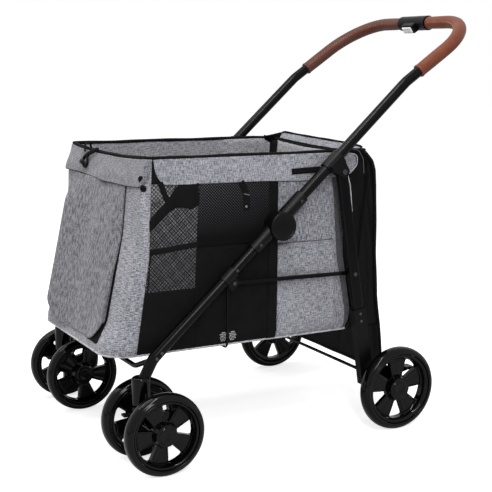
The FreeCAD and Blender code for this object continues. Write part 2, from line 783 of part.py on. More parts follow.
def stationAt(z):
    """Front, rear, half width and front corner radius of the basket at height z."""
    for low, high in zip(basketStations, basketStations[1:]):
        if z <= high[0] or high is basketStations[-1]:
            t = (z - low[0]) / (high[0] - low[0])
            return [a + (b - a) * t for a, b in zip(low[1:], high[1:])]


def basketRing(z, inset):
    """Outline of the basket at height z, moved inwards by inset, with rounded front corners."""
    front, rear, half, radius = stationAt(z)
    x, r = half - inset, radius - inset
    y0, y1 = front + inset, rear - inset
    diagonal = r * (1 - math.sqrt(0.5))
    spots = [V(-x, y0 + r, z), V(diagonal - x, y0 + diagonal, z), V(r - x, y0, z),
             V(x - r, y0, z), V(x - diagonal, y0 + diagonal, z), V(x, y0 + r, z), V(x, y1, z), V(-x, y1, z)]
    edges = [Part.Arc(*spots[0:3]), Part.LineSegment(*spots[2:4]), Part.Arc(*spots[3:6]),
             Part.LineSegment(*spots[5:7]), Part.LineSegment(*spots[6:8]), Part.LineSegment(spots[7], spots[0])]
    return Part.Wire([e.toShape() for e in edges])


def basketTub():
    heights = [s[0] for s in basketStations]
    outer = Part.makeLoft([basketRing(z, 0) for z in heights], True, True)
    inside = [basketStations[0][0] + basketFloor] + heights[1:-1] + [basketTop]
    inner = Part.makeLoft([basketRing(z, basketWall) for z in inside], True, True)
    lid = Part.Face(basketRing(basketTop, basketWall)).extrude(V(0, 0, beyond))
    return outer.cut(inner).cut(lid)


def floorSlab(z, thick, inset):
    return Part.Face(basketRing(z, inset)).extrude(V(0, 0, thick))


def frontSheet(z0, z1, half, back, thick):
    """Strip of cloth round the basket's front, from z0 to z1, as far back as back at its sides."""
    heights = [z0] + [s[0] for s in basketStations if z0 < s[0] < z1] + [z1]
    outer, inner = [Part.makeLoft([basketRing(z, -out) for z in heights], True, True)
                    for out in (softGap + thick, softGap)]
    return outer.cut(inner).common(boxAt(-half, half, frontTip - beyond, back, z0, z1))


def frontDoor():
    """Roll-up door flap that follows the sloping front, with round lower corners."""
    sheet = frontSheet(doorBottom, doorTop, doorHalf, basketStations[-1][1], doorThick)
    outline = roundBottomed(doorHalf, doorTop, doorBottom, doorCornerR, frontTip - beyond, wheelbase)
    return sheet.common(outline)


def frontValance():
    return frontSheet(frontValanceBottom, basketTop, sideX, frontValanceBack, valanceThick)


def sideValance():
    x0 = basketStations[-1][3] + softGap
    return boxAt(x0, x0 + valanceThick, sideValanceFront, sideValanceBack, sideValanceBottom, basketTop)


def rimWire():
    """Closed bar on the basket's top edge."""
    front, rear, half, radius = stationAt(basketTop)
    x = half - rimDia / 2
    y0, y1 = front + rimDia / 2, rear - rimDia / 2
    corners = [V(x, y1, rimZ), V(x, y0, rimZ), V(-x, y0, rimZ), V(-x, y1, rimZ)]
    ring = [V(0, y1, rimZ)] + corners + [V(0, y1, rimZ)]
    return rod(ring, [rimCornerR] * 4, rimDia / 2)


def baseWire():
    """Hanger that drops from both strut brackets and crosses under the basket."""
    x = strutInnerX - plateGap - wireDia / 2
    top = strutFront.z - strutEyeR - strutEyeRoom
    low = basketStations[0][0] - wireDia / 2
    ring = [V(x, wireY, top), V(x, wireY, low), V(-x, wireY, low), V(-x, wireY, top)]
    return rod(ring, [wireCornerR] * 2, wireDia / 2)


def frontBar():
    """Cross tube between the legs, its ends turned up."""
    x = sideX - tubeR + frontBarReach
    end, low = frontBarEnd, frontBarLow
    path = [V(x, end.y, end.z), V(frontBarFlat, low.y, low.z),
            V(-frontBarFlat, low.y, low.z), V(-x, end.y, end.z)]
    return rod(path, [frontBarBendR] * 2, frontBarDia / 2)


# ---- rear cover ----

def rearCover():
    """Hanging panel with a rounded top and short side walls, open toward the basket."""
    near, mid, drop = coverTopRound
    back = coverFront + coverDepth
    knees = coverKnees
    outline = [(coverFront, coverTop - near), (coverFront + near, coverTop),
               (coverFront + mid, coverTop - near), (back, coverTop - drop),
               (back, knees[1]), (coverLowBack, knees[3]), (coverLowBack, coverBottom),
               (coverLowFront, coverBottom), (coverLowFront, knees[2]), (coverFront, knees[0])]
    hollow = [(coverFront - beyond, coverTop - drop), (back - coverWall, coverTop - drop),
              (back - coverWall, knees[1]), (coverLowBack - coverWall, knees[3]),
              (coverLowBack - coverWall, coverBottom + coverWall),
              (coverFront - beyond, coverBottom + coverWall)]
    sheet = prismX(outline, -coverHalf, coverHalf)
    inside = bowCornerR - bowDia / 2 - softGap
    sheet = sheet.common(roundBottomed(coverHalf, coverTop, coverBottom, inside, -wheelbase / 2, wheelbase))
    room = prismX(hollow, coverWall - coverHalf, coverHalf - coverWall)
    room = room.common(roundBottomed(coverHalf - coverWall, coverTop, coverBottom + coverWall,
                                     inside - coverWall, -wheelbase / 2, wheelbase))
    return sheet.cut(room)


def rearBow():
    x = coverHalf + bowDia / 2 + softGap
    low = coverBottom - bowDia / 2 - softGap
    high = coverTop - bowArm
    ring = [V(x, bowY, high), V(x, bowY, low), V(-x, bowY, low), V(-x, bowY, high)]
    return rod(ring, [bowCornerR] * 2, bowDia / 2)


# ---- write every piece ----

savePair("front_leg", frontLeg())
save("front_cross_bar", frontBar())
savePair("caster_housing", casterHousing())
savePair("caster_yoke", casterYoke())
savePair("swivel_lock", swivelLock())
savePair("caster_axle", casterAxle())
for ending, offset, outward in (("outer", casterTrackHalf, 1), ("inner", -casterTrackHalf, -1)):
    tyre = wheelTyre(frontR, sideX + offset, frontAxleY)
    rim = wheelRim(frontR, sideX + offset, frontAxleY, outward, frontWheelTurn)
    savePair("front_tyre_" + ending, tyre)
    savePair("front_rim_" + ending, rim)
savePair("knuckle_lower", knuckleLower())
savePair("knuckle_upper", knuckleUpper())
save("knuckle_covers", knuckleCover(), mirrored(knuckleCover()))
save("fold_pins", foldPin(), mirrored(foldPin()))
save("handle_tube", handleTube())
save("handle_grips", handleGrip(), mirrored(handleGrip()))
save("release_housing", releaseHousing())
save("release_button", releaseButton())
savePair("top_bracket", topBracket())
savePair("rear_leg", rearLeg())
savePair("rear_hub", rearHub())
save("rear_axles", rearAxle(), mirrored(rearAxle()))
save("rear_crossbar", cylX(-rearLegX + rearLegThick / 2, rearLegX - rearLegThick / 2,
                           crossbar.y, crossbar.z, crossbarDia / 2))
savePair("brake_lever", brakeLever())
savePair("rear_tyre", wheelTyre(rearR, rearTrackHalf, 0))
savePair("rear_rim", wheelRim(rearR, rearTrackHalf, 0, 1, rearWheelTurn))
savePair("strut", strut())
save("strut_brackets", strutBracket(), mirrored(strutBracket()))

chassisRivets = [strutPin(), lowerSocketRivet()[0]]
chassisRivets += [rivet(onLine(s), sideX + tubeR, legRivetDepth)[0] for s in legRivetS]
save("chassis_rivets", *(chassisRivets + [mirrored(r) for r in chassisRivets]))

handleRivets = [legPin(), upperSocketRivet()[0]]
save("handle_rivets", *(handleRivets + [mirrored(r) for r in handleRivets]))

legFace = rearLegX + rearLegThick / 2
strutBolt = cylX(rearLegX - rearLegThick / 2, legFace, strutRear.y, strutRear.z, strutPinDia / 2)
strutBolt = strutBolt.fuse(cylX(legFace, legFace + pinHead, strutRear.y, strutRear.z, strutBoltHeadR))
legRivets = [strutBolt]
legRivets += [rivet(legPivot + rearLegDir * s, legFace + hubWall, hubWall)[0] for s in hubRivetS]
save("leg_rivets", *(legRivets + [mirrored(r) for r in legRivets]))

save("basket_tub", basketTub())
save("basket_floor_board", floorSlab(floorZ, boardThick, basketWall + boardInset))
save("floor_pad", floorSlab(floorZ + boardThick, padThick, basketWall + padInset))
save("basket_rim_wire", rimWire())
save("base_wire", baseWire())
save("front_valance", frontValance())
save("side_valances", sideValance(), mirrored(sideValance()))
save("front_door", frontDoor())
save("rear_cover", rearCover())
save("cover_bow", rearBow())
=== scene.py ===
import math
import bmesh
import bpy
import numpy as np
from mathutils import Matrix, Vector


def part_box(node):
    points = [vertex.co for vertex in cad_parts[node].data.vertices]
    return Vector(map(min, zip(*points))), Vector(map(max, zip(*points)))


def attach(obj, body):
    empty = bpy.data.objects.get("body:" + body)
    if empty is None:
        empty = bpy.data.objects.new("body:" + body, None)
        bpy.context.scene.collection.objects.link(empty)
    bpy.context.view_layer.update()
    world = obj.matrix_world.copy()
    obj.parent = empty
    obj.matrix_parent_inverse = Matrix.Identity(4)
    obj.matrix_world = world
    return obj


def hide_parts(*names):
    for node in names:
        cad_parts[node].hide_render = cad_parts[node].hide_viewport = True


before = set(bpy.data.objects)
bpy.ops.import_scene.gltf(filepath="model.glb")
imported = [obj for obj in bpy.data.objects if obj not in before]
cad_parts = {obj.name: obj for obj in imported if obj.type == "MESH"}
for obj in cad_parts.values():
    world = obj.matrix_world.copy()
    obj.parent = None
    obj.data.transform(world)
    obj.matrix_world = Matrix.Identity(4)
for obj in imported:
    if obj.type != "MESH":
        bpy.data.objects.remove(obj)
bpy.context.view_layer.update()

scene = bpy.context.scene
scene.view_settings.view_transform = "Standard"
axleLow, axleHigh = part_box("rear_axles")
axleY = (axleLow.y + axleHigh.y) / 2
bothSides = ((1, "left"), (-1, "right"))


def place(x, y, z):
    # millimetres from the rear axle's line and the floor, to metres in the model's frame
    spots = np.stack(np.broadcast_arrays(x, y, z), axis=-1).astype(float) * 0.001
    spots[..., 1] += axleY
    return spots


def grid(points, uv=None, wrapU=False, wrapV=False, keep=None, flip=False):
    # one patch: rows and columns of points joined by four-sided faces
    rows, cols = points.shape[:2]
    i, j = np.meshgrid(np.arange(rows - (not wrapU)), np.arange(cols - (not wrapV)), indexing="ij")
    i2, j2 = (i + 1) % rows, (j + 1) % cols
    faces = np.stack([i * cols + j, i2 * cols + j, i2 * cols + j2, i * cols + j2], -1)
    if uv is None:
        u, v = np.meshgrid(np.arange(rows + 1) / rows, np.arange(cols + 1) / cols, indexing="ij")
        uv = np.stack([u, v], -1)
    corners = np.stack([uv[i, j], uv[i + 1, j], uv[i + 1, j + 1], uv[i, j + 1]], -2)
    faces, corners = faces.reshape(-1, 4), corners.reshape(-1, 4, 2)
    if keep is not None:
        faces, corners = faces[keep.ravel()], corners[keep.ravel()]
    if flip:
        faces, corners = faces[:, ::-1], corners[:, ::-1]
    return {"points": points.reshape(-1, 3), "faces": [(faces, corners)]}


def again(rows):
    # the rows with their first column once more at the end
    return np.concatenate([rows, rows[:, :1]], 1)


def closedUv(u, v):
    # cloth coordinates in mm for a patch that closes on itself
    uv = np.stack([u, v], -1) * 0.001
    return np.concatenate([uv, uv[-1:]], 0)


def fan(ring, centre, flip=False):
    # closes a ring of points with triangles to its centre
    n = len(ring)
    k = np.arange(n)
    faces = np.stack([k, (k + 1) % n, np.full(n, n)], -1)
    faces = faces[:, ::-1] if flip else faces
    points = np.vstack([ring, centre])
    corners = points[faces][..., [1, 2]]
    return {"points": points, "faces": [(faces, corners)]}


def piece(name, patches, material, body, node=(), slot=None, sharp=None, thick=0.0, merge=0.0):
    # puts patches into one mesh object that rides on a body
    points = np.vstack([p["points"] for p in patches])
    starts = np.cumsum([0] + [len(p["points"]) for p in patches[:-1]])
    blocks = [(f + s, c) for p, s in zip(patches, starts) for f, c in p["faces"]]
    loops = np.concatenate([f.ravel() for f, c in blocks])
    sizes = np.concatenate([np.full(len(f), f.shape[1]) for f, c in blocks])
    uvs = np.concatenate([c.reshape(-1, 2) for f, c in blocks])
    mesh = bpy.data.meshes.new(name)
    mesh.vertices.add(len(points))
    mesh.vertices.foreach_set("co", points.astype(np.float32).ravel())
    mesh.loops.add(len(loops))
    mesh.loops.foreach_set("vertex_index", loops.astype(np.int32))
    mesh.polygons.add(len(sizes))
    mesh.polygons.foreach_set("loop_start", np.concatenate([[0], np.cumsum(sizes)[:-1]]).astype(np.int32))
    mesh.polygons.foreach_set("use_smooth", np.ones(len(sizes), bool))
    mesh.uv_layers.new(name="UVMap").data.foreach_set("uv", uvs.astype(np.float32).ravel())
    mesh.update(calc_edges=True)
    if merge:
        bm = bmesh.new()
        bm.from_mesh(mesh)
        bmesh.ops.remove_doubles(bm, verts=bm.verts, dist=merge)
        bm.to_mesh(mesh)
        bm.free()
    mesh.validate()
    if sharp:
        mesh.set_sharp_from_angle(angle=math.radians(sharp))
    mesh.materials.append(material)
    obj = bpy.data.objects.new(name, mesh)
    scene.collection.objects.link(obj)
    if thick:
        shell = obj.modifiers.new("clothThickness", "SOLIDIFY")
        shell.thickness = abs(thick) * 0.001
        shell.offset = -1 if thick > 0 else 1
    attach(obj, body)
    if node:
        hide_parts(*([node] if isinstance(node, str) else node))
    slot = slot or slotOf.get(material.name)
    return obj


def circle(n):
    # n even turns, in radians
    return np.arange(n) / n * 2 * math.pi


def lengths(path):
    # the distance along a path from its start to each of its points
    return np.concatenate([[0], np.cumsum(np.linalg.norm(np.diff(path, axis=0), axis=1))])


def wholeLength(path):
    # the distance from a path's start to its end
    return np.linalg.norm(np.diff(path, axis=0), axis=1).sum()


def unit(v):
    return v / np.maximum(np.linalg.norm(v, axis=-1, keepdims=True), 1e-12)


def span(a, b, m, c, d, n):
    # two crossed even ranges: m rows from a to b, n columns from c to d
    return np.meshgrid(np.linspace(a, b, m), np.linspace(c, d, n), indexing="ij")


def drape(x, y, z, u, v, flip=False):
    # a patch with its spots and its cloth coordinates in mm
    return grid(place(x, y, z), np.stack(np.broadcast_arrays(u, v), -1) * 0.001, flip=flip)


def sweep(path, radius, sides=12, ref=(0, 0, 1), closed=False, flatten=1.0):
    # tube: a circle of the given radius carried along a path; ref turns the circle
    path = np.asarray(path, float)
    radius = np.broadcast_to(np.asarray(radius, float), len(path)).copy()
    if closed:
        tangent = unit(np.roll(path, -1, 0) - np.roll(path, 1, 0))
    else:
        tangent = unit(np.gradient(path, axis=0))
    ref = np.broadcast_to(np.asarray(ref, float), path.shape)
    side = unit(np.cross(ref, tangent))
    up = np.cross(tangent, side)
    turn = circle(sides)
    ring = radius[:, None, None] * (np.cos(turn)[None, :, None] * side[:, None] * flatten
                                    + np.sin(turn)[None, :, None] * up[:, None])
    points = path[:, None] + ring
    run = lengths(path)
    around = 2 * math.pi * float(radius.max())
    if closed:
        run = np.append(run, run[-1] + np.linalg.norm(path[0] - path[-1]))
    u, v = np.meshgrid(run, np.arange(sides + 1) / sides * around, indexing="ij")
    patches = [grid(points, np.stack([u, v], -1), wrapU=closed, wrapV=True, flip=True)]
    if not closed:
        patches.append(fan(points[0], path[0]))
        patches.append(fan(points[-1], path[-1], flip=True))
    return patches


def tube(path, radius, sides, **shape):
    # the same along a path in mm; the radius is in metres
    return sweep(place(*path.T), radius, sides, **shape)


def roundedPath(corners, radii, step=4.0):
    # straight runs joined by arcs that touch both; corners and radii in mm
    corners = np.asarray(corners, float)
    pieces = [corners[:1]]
    for a, b, c, r in zip(corners, corners[1:], corners[2:], radii):
        inward, outward = unit(a - b), unit(c - b)
        half = math.acos(float(np.clip(inward @ outward, -1, 1))) / 2
        back = r / math.tan(half)
        centre = b + unit(inward + outward) * r / math.sin(half)
        start, end = b + inward * back - centre, b + outward * back - centre
        sweepAngle = math.pi - 2 * half
        t = np.linspace(0, 1, max(5, int(r * sweepAngle / step)))[:, None]
        arc = (np.sin((1 - t) * sweepAngle) * start + np.sin(t * sweepAngle) * end) / math.sin(sweepAngle)
        pieces.append(centre + arc)
    pieces.append(corners[-1:])
    return np.vstack(pieces)


def evenly(path, count):
    # the same path with its points at equal spacing
    run = lengths(path)
    at = np.linspace(0, run[-1], count)
    return np.stack([np.interp(at, run, path[:, k]) for k in range(path.shape[1])], -1)


def lathe(profile, centre, segments=96, outward=1):
    # profile (radius, offset along X) turned about an X axis through centre, all mm
    profile = np.asarray(profile, float)
    turn = circle(segments)
    r, off = profile[:, 0][:, None], profile[:, 1][:, None]
    points = place(centre[0] + outward * off + 0 * turn, centre[1] + r * np.cos(turn), centre[2] + r * np.sin(turn))
    run = lengths(profile)
    around = np.arange(segments + 1) / segments * 2 * math.pi * profile[:, 0].max() * 0.001
    u, v = np.meshgrid(run * 0.001, around, indexing="ij")
    return grid(points, np.stack([u, v], -1), wrapV=True, flip=outward < 0)


def bump(t, centre, width):
    # smooth hill of height 1
    return np.exp(-((t - centre) / width) ** 2)


def ramp(t, a, b):
    # smooth step from 0 at a to 1 at b
    s = np.clip((t - a) / (b - a), 0, 1)
    return s * s * (3 - 2 * s)


def ripple(a, b, seed):
    # smooth uneven waviness, mean 0, about one high: a few sines of unlike lengths summed
    rng = np.random.default_rng(seed)
    total = 0.0
    for k in range(5):
        fa, fb, ph = rng.uniform(-1, 1), rng.uniform(-1, 1), rng.uniform(0, 6.28)
        total = total + np.sin(a * fa * (1 + k * 0.7) + b * fb * (1 + k * 0.7) + ph) / (1 + k * 0.6)
    return total / 2.2


class Signal:
    # one output inside a material; sums and products of signals add the nodes that work them out
    def __init__(self, tree, socket):
        self.tree, self.socket = tree, socket

    def __add__(self, other):
        return calc(self.tree, "ADD", self, other)

    def __sub__(self, other):
        return calc(self.tree, "SUBTRACT", self, other)

    def __rsub__(self, other):
        return calc(self.tree, "SUBTRACT", other, self)

    def __mul__(self, other):
        return calc(self.tree, "MULTIPLY", self, other)

    def __truediv__(self, other):
        return calc(self.tree, "DIVIDE", self, other)

    def __rtruediv__(self, other):
        return calc(self.tree, "DIVIDE", other, self)

    def clamped(self):
        # the last sum is kept between 0 and 1
        self.socket.node.use_clamp = True
        return self


def feed(tree, value, target):
    # a signal is linked to the input, and a plain value is set on it
    if isinstance(value, Signal):
        tree.links.new(value.socket, target)
    else:
        target.default_value = value


def calc(tree, operation, *values):
    made = tree.nodes.new("ShaderNodeMath")
    made.operation = operation
    for k, value in enumerate(values):
        feed(tree, value, made.inputs[k])
    return Signal(tree, made.outputs[0])


def sine(signal):
    return calc(signal.tree, "SINE", signal)


def noise(vector, scale, detail=2.0, rough=0.5, stretch=None):
    # cloudy noise, its pattern first squeezed by the three factors of stretch
    tree = vector.tree
    if stretch:
        squeezed = tree.nodes.new("ShaderNodeMapping")
        squeezed.inputs["Scale"].default_value = stretch
        feed(tree, vector, squeezed.inputs["Vector"])
        vector = Signal(tree, squeezed.outputs[0])
    made = tree.nodes.new("ShaderNodeTexNoise")
    for label, value in (("Scale", scale), ("Detail", detail), ("Roughness", rough), ("Vector", vector)):
        feed(tree, value, made.inputs[label])
    return Signal(tree, made.outputs["Fac"])


def mixColor(amount, a, b):
    made = amount.tree.nodes.new("ShaderNodeMix")
    made.data_type = "RGBA"
    for k, value in ((0, amount), (6, a), (7, b)):
        feed(amount.tree, value, made.inputs[k])
    return Signal(amount.tree, made.outputs[2])


def planar(vector):
    # the first two parts of a vector
    split = vector.tree.nodes.new("ShaderNodeSeparateXYZ")
    feed(vector.tree, vector, split.inputs[0])
    return Signal(vector.tree, split.outputs[0]), Signal(vector.tree, split.outputs[1])


def shade(r, g, b):
    # screen values 0 to 255, to the linear colour the shaders use
    return tuple(((v / 255) / 12.92 if v <= 10 else (((v / 255) + 0.055) / 1.055) ** 2.4) for v in (r, g, b)) + (1.0,)


def patternGroup(name, recipe, **inputs):
    # one shared pattern: the recipe turns a vector and the named inputs into named outputs
    group = bpy.data.node_groups.new(name, "ShaderNodeTree")
    group.interface.new_socket("Vector", in_out="INPUT", socket_type="NodeSocketVector")
    for label, value in inputs.items():
        kind = "NodeSocketColor" if isinstance(value, tuple) else "NodeSocketFloat"
        group.interface.new_socket(label, in_out="INPUT", socket_type=kind).default_value = value
    source = group.nodes.new("NodeGroupInput")
    results = recipe(*[Signal(group, source.outputs[label]) for label in ("Vector", *inputs)])
    for label in results:
        kind = "NodeSocketColor" if label == "Color" else "NodeSocketFloat"
        group.interface.new_socket(label, in_out="OUTPUT", socket_type=kind)
    sink = group.nodes.new("NodeGroupOutput")
    for label, value in results.items():
        feed(group, value, sink.inputs[label])
    return group


def heatherRecipe(vector, light, dark, slubs):
    # heather cloth: long slubs one way, short ones across, fine grain, and a plain weave
    along = noise(vector, 1.0, 3, 0.6, (600, 60, 1))
    across = noise(vector, 1.0, 3, 0.6, (90, 660, 1))
    fine = noise(vector, 1.0, 2, 0.7, (1100, 900, 1))
    broad = noise(vector, 1.0, 2, 0.5, (12, 9, 1))
    total = ((along - 0.5) * (slubs * 5.2) + (across - 0.5) * 4.2) + ((fine - 0.5) * 2.4 + (broad - 0.5) * 0.6)
    mask = (total + 0.5).clamped()
    u, v = planar(vector)
    weave = sine(u * 5200) * sine(v * 5200)
    return {"Color": mixColor(mask, dark, light), "Height": weave * 0.25 + mask, "Roughness": mask * -0.08 + 0.92}


def blackClothRecipe(vector, light, dark, pitch, rough):
    # black cloth: fine diagonal weave with uneven dye and slight folds
    u, v = planar(vector)
    per = 6283.2 / pitch
    weave = (sine((u + v) * per) * sine((u - v) * per) + 1.0) * 0.5
    dye = noise(vector, 1.0, 4, 0.6, (30, 30, 30))
    mask = (weave * 0.35 + dye * 0.55).clamped()
    return {"Color": mixColor(mask, dark, light), "Height": weave + dye * 0.6, "Roughness": dye * -0.25 + rough}


def netRecipe(vector, pitch, threadShare):
    # diamond net: thread where either slanting coordinate is near a multiple of the pitch
    u, v = planar(vector)
    per = 1000.0 / pitch
    first, second = [calc(vector.tree, "PINGPONG", lean * per, 0.5) * 2.0 for lean in (u + v, u - v)]
    near = calc(vector.tree, "MINIMUM", first, second)
    return {"Mask": calc(vector.tree, "LESS_THAN", near, threadShare), "Height": 1.0 - near}


def mouldedRecipe(vector, base, scuff, grain, wear, gloss):
    # moulded or painted surface: fine orange-peel grain, cloudy gloss, faint scuffs
    fine = noise(vector, grain)
    cloud = noise(vector, 22.0, 4, 0.55)
    scratch = noise(vector, 1.0, 5, 0.75, (240, 60, 90))
    marks = ((scratch - 0.62).clamped() * 5.0).clamped() * wear
    tint = (marks + (cloud - 0.5) * 0.18).clamped()
    return {"Color": mixColor(tint, base, scuff), "Height": fine + marks * -0.5,
            "Roughness": (gloss + (cloud - 0.5) * 0.22 + marks * 0.25).clamped()}


def leatherRecipe(vector, tan, deep, density):
    # leather: pebbled cells with creases between them, cloudy dye, darker in the creases
    cells = vector.tree.nodes.new("ShaderNodeTexVoronoi")
    cells.feature = "DISTANCE_TO_EDGE"
    feed(vector.tree, vector, cells.inputs["Vector"])
    feed(vector.tree, density, cells.inputs["Scale"])
    crease = (Signal(vector.tree, cells.outputs["Distance"]) * 3.0).clamped()
    cloud = noise(vector, 60.0, 4, 0.6)
    worn = noise(vector, 14.0, 2, 0.5)
    mask = (crease * 0.3 + cloud * 0.45 + worn * 0.5).clamped()
    return {"Color": mixColor(mask, deep, tan), "Height": crease + cloud * 0.5, "Roughness": cloud * 0.3 + 0.3}


heatherCloth = patternGroup("heatherCloth", heatherRecipe, Light=shade(190, 190, 194), Dark=shade(92, 92, 98),
                            Slubs=1.0)
blackCloth = patternGroup("blackCloth", blackClothRecipe, Light=shade(40, 40, 42), Dark=shade(14, 14, 15), Pitch=1.1,
                          Rough=0.9)
diamondNet = patternGroup("diamondNet", netRecipe, Pitch=4.4, Thread=0.34)
mouldedSurface = patternGroup("mouldedSurface", mouldedRecipe, Base=shade(20, 20, 21), Scuff=shade(58, 58, 60),
                              Grain=900.0, Wear=0.3, Gloss=0.35)
leatherGrain = patternGroup("leatherGrain", leatherRecipe, Tan=shade(138, 78, 52), Deep=shade(70, 36, 26),
                            Cells=900.0)


def finish(name, group, values, coords="UV", bumpStrength=0.3, bumpDistance=0.4, shader=None, turn=0.0):
    # a material: one pattern group feeding a Principled shader
    material = bpy.data.materials.new(name)
    material.use_nodes = True
    tree = material.node_tree
    shine = tree.nodes["Principled BSDF"]
    where = tree.nodes.new("ShaderNodeTexCoord").outputs[coords]
    if turn:
        turned = tree.nodes.new("ShaderNodeMapping")
        turned.inputs["Rotation"].default_value = (0, 0, turn)
        tree.links.new(where, turned.inputs["Vector"])
        where = turned.outputs[0]
    pattern = tree.nodes.new("ShaderNodeGroup")
    pattern.node_tree = group
    tree.links.new(where, pattern.inputs["Vector"])
    for label, value in values.items():
        pattern.inputs[label].default_value = value
    raised = tree.nodes.new("ShaderNodeBump")
    raised.inputs["Strength"].default_value = bumpStrength
    raised.inputs["Distance"].default_value = bumpDistance * 0.001
    tree.links.new(pattern.outputs["Height"], raised.inputs["Height"])
    tree.links.new(raised.outputs[0], shine.inputs["Normal"])
    for label in ("Color", "Roughness"):
        if label in pattern.outputs:
            tree.links.new(pattern.outputs[label], shine.inputs["Base Color" if label == "Color" else label])
    for label, value in (shader or {}).items():
        shine.inputs[label].default_value = value
    return material, pattern, shine


clothShader = {"Specular IOR Level": 0.25, "Sheen Weight": 0.25, "Sheen Roughness": 0.6}
quarterTurn = math.pi / 2


def tone(pair):
    # a near grey: its red and green, and its blue
    return shade(pair[0], pair[0], pair[1])


def heather(name, light, dark, slubs, turn=0.0):
    return finish(name, heatherCloth, {"Light": tone(light), "Dark": tone(dark), "Slubs": slubs}, turn=turn,
                  shader=clothShader)[0]


def twill(name, light, dark, specular, coords="UV", **values):
    return finish(name, blackCloth, {"Light": tone(light), "Dark": tone(dark), **values}, coords=coords,
                  shader={"Specular IOR Level": specular})[0]


def seeThrough(name, pitch, threadShare, colour, specular, turn=0.0):
    # an open net: the threads show, the holes do not
    shader = {"Base Color": tone(colour), "Roughness": 0.7, "Specular IOR Level": specular}
    material, pattern, shine = finish(name, diamondNet, {"Pitch": pitch, "Thread": threadShare}, turn=turn,
                                      shader=shader)
    material.node_tree.links.new(pattern.outputs["Mask"], shine.inputs["Alpha"])
    return material


# heights (m) between which the painted light in the holes grows, and where along the wall and how fast it does
paintedHoleLight = {"low": 0.51, "high": 0.67, "ahead": -0.34, "rate": 3.0, "least": 0.5}


def patternedNet(name, pitch, threadShare, dark, paintedLight):
    # net laid over cloth: dark threads, and in the holes cloth with painted light that grows paler upward and forward
    material, pattern, shine = finish(name, diamondNet, {"Pitch": pitch, "Thread": threadShare},
                                      shader={"Roughness": 0.85, "Specular IOR Level": 0.06})
    tree = material.node_tree
    y, z = planar(Signal(tree, tree.nodes["Texture Coordinate"].outputs["UV"]))
    high = ((z - paintedHoleLight["low"]) / (paintedHoleLight["high"] - paintedHoleLight["low"])).clamped()
    ahead = ((paintedHoleLight["ahead"] - y) * paintedHoleLight["rate"]).clamped()
    pattern = Signal(tree, pattern.outputs["Mask"])
    # the pale in the holes is painted light, strongest high up and toward the front
    litHoles = mixColor((high * (ahead + paintedHoleLight["least"])).clamped(), dark, paintedLight)
    feed(tree, mixColor(pattern, litHoles, dark), shine.inputs["Base Color"])
    return material


def moulded(name, base, scuff, gloss, specular, strength=0.05, distance=0.4, **values):
    return finish(name, mouldedSurface, {"Base": shade(*base), "Scuff": shade(*scuff), "Gloss": gloss, **values},
                  coords="Object", bumpStrength=strength, bumpDistance=distance,
                  shader={"Specular IOR Level": specular})[0]


def leathery(name, tan, deep, specular, strength=0.3, distance=0.4, **values):
    return finish(name, leatherGrain, {"Tan": shade(*tan), "Deep": shade(*deep), **values}, bumpStrength=strength,
                  bumpDistance=distance, shader={"Specular IOR Level": specular})[0]


greyCloth = heather("greyHeather", (166, 174), (78, 86), 1.1)
greyClothSoft = heather("greyHeatherSoft", (166, 174), (78, 86), 0.5)
greyClothCross = heather("greyHeatherCross", (166, 174), (78, 86), 0.7, quarterTurn)
# the grey rear side's cloth: a darker copy of the grey heather, painted shade from the rear leg
sideClothPaintedShade = heather("sideHeatherPaintedShade", (156, 164), (70, 78), 1.1)
# the door's cloth: darker than the wall's, partly its own tone and partly painted shade on the front-facing flap
doorClothPaintedShade = heather("doorHeatherPaintedShade", (122, 130), (47, 54), 1.5)
# the front valance's cloth: a darker copy of the side valance's grey, painted shade on the front face
valanceClothPaintedShade = heather("valanceHeatherPaintedShade", (130, 138), (54, 61), 0.7, quarterTurn)
# dark grey cloth used as painted shade: in the fold at the grey side's rear edge and under the pocket's mouth
paintedShadeCloth = heather("paintedShadeHeather", (70, 74), (28, 31), 0.6)
greyLining = heather("greyLining", (168, 172), (92, 97), 0.7, quarterTurn)
lightWelt = heather("lightWelt", (205, 210), (120, 126), 0.3)
lightThread = heather("lightThread", (215, 218), (150, 154), 0.3)
blackFabric = twill("blackFabric", (24, 25), (6, 7), 0.06)
blackTape = twill("blackTape", (22, 23), (6, 7), 0.07, Pitch=2.0)
coverCloth = twill("coverCloth", (14, 15), (4, 5), 0.09, Pitch=0.8, Rough=0.5)
# pale cord: the pocket's real stitches, and on the cover's shoulders also a painted highlight
seamCordAndHighlight = twill("seamCordAndHighlight", (120, 122), (60, 62), 0.2, Pitch=0.8)
padCloth = twill("padCloth", (40, 42), (14, 15), 0.15, "Object", Pitch=3.0)
netCloth = seeThrough("windowNet", 9.5, 0.26, (24, 25), 0.2)
innerNet = seeThrough("innerNet", 7.6, 0.22, (20, 21), 0.1, turn=0.05)
# the double net's holes show painted light over the dark cloth
doubleNet = patternedNet("doubleNet", 7.0, 0.5, tone((11, 12)), tone((96, 100)))
satinMetal = moulded("satinBlackMetal", (7, 7, 8), (30, 30, 32), 0.2, 0.1, 0.04, 0.1, Wear=0.12)
blackPlastic = moulded("blackPlastic", (8, 8, 9), (34, 34, 36), 0.34, 0.12, 0.15, 0.12, Grain=1400.0)
glossPlastic = moulded("glossBlack", (4, 4, 5), (24, 24, 26), 0.1, 0.16, 0.02, 0.1, Wear=0.1)
tyreRubber = moulded("tyreFoam", (5, 5, 6), (28, 28, 30), 0.11, 0.15, 0.02, 0.1, Wear=0.12)
steel = moulded("steel", (120, 120, 122), (70, 70, 72), 0.3, 0.5)
steel.node_tree.nodes["Principled BSDF"].inputs["Metallic"].default_value = 1.0
rivetSteel = moulded("blackedSteel", (44, 44, 46), (90, 90, 92), 0.2, 0.5)
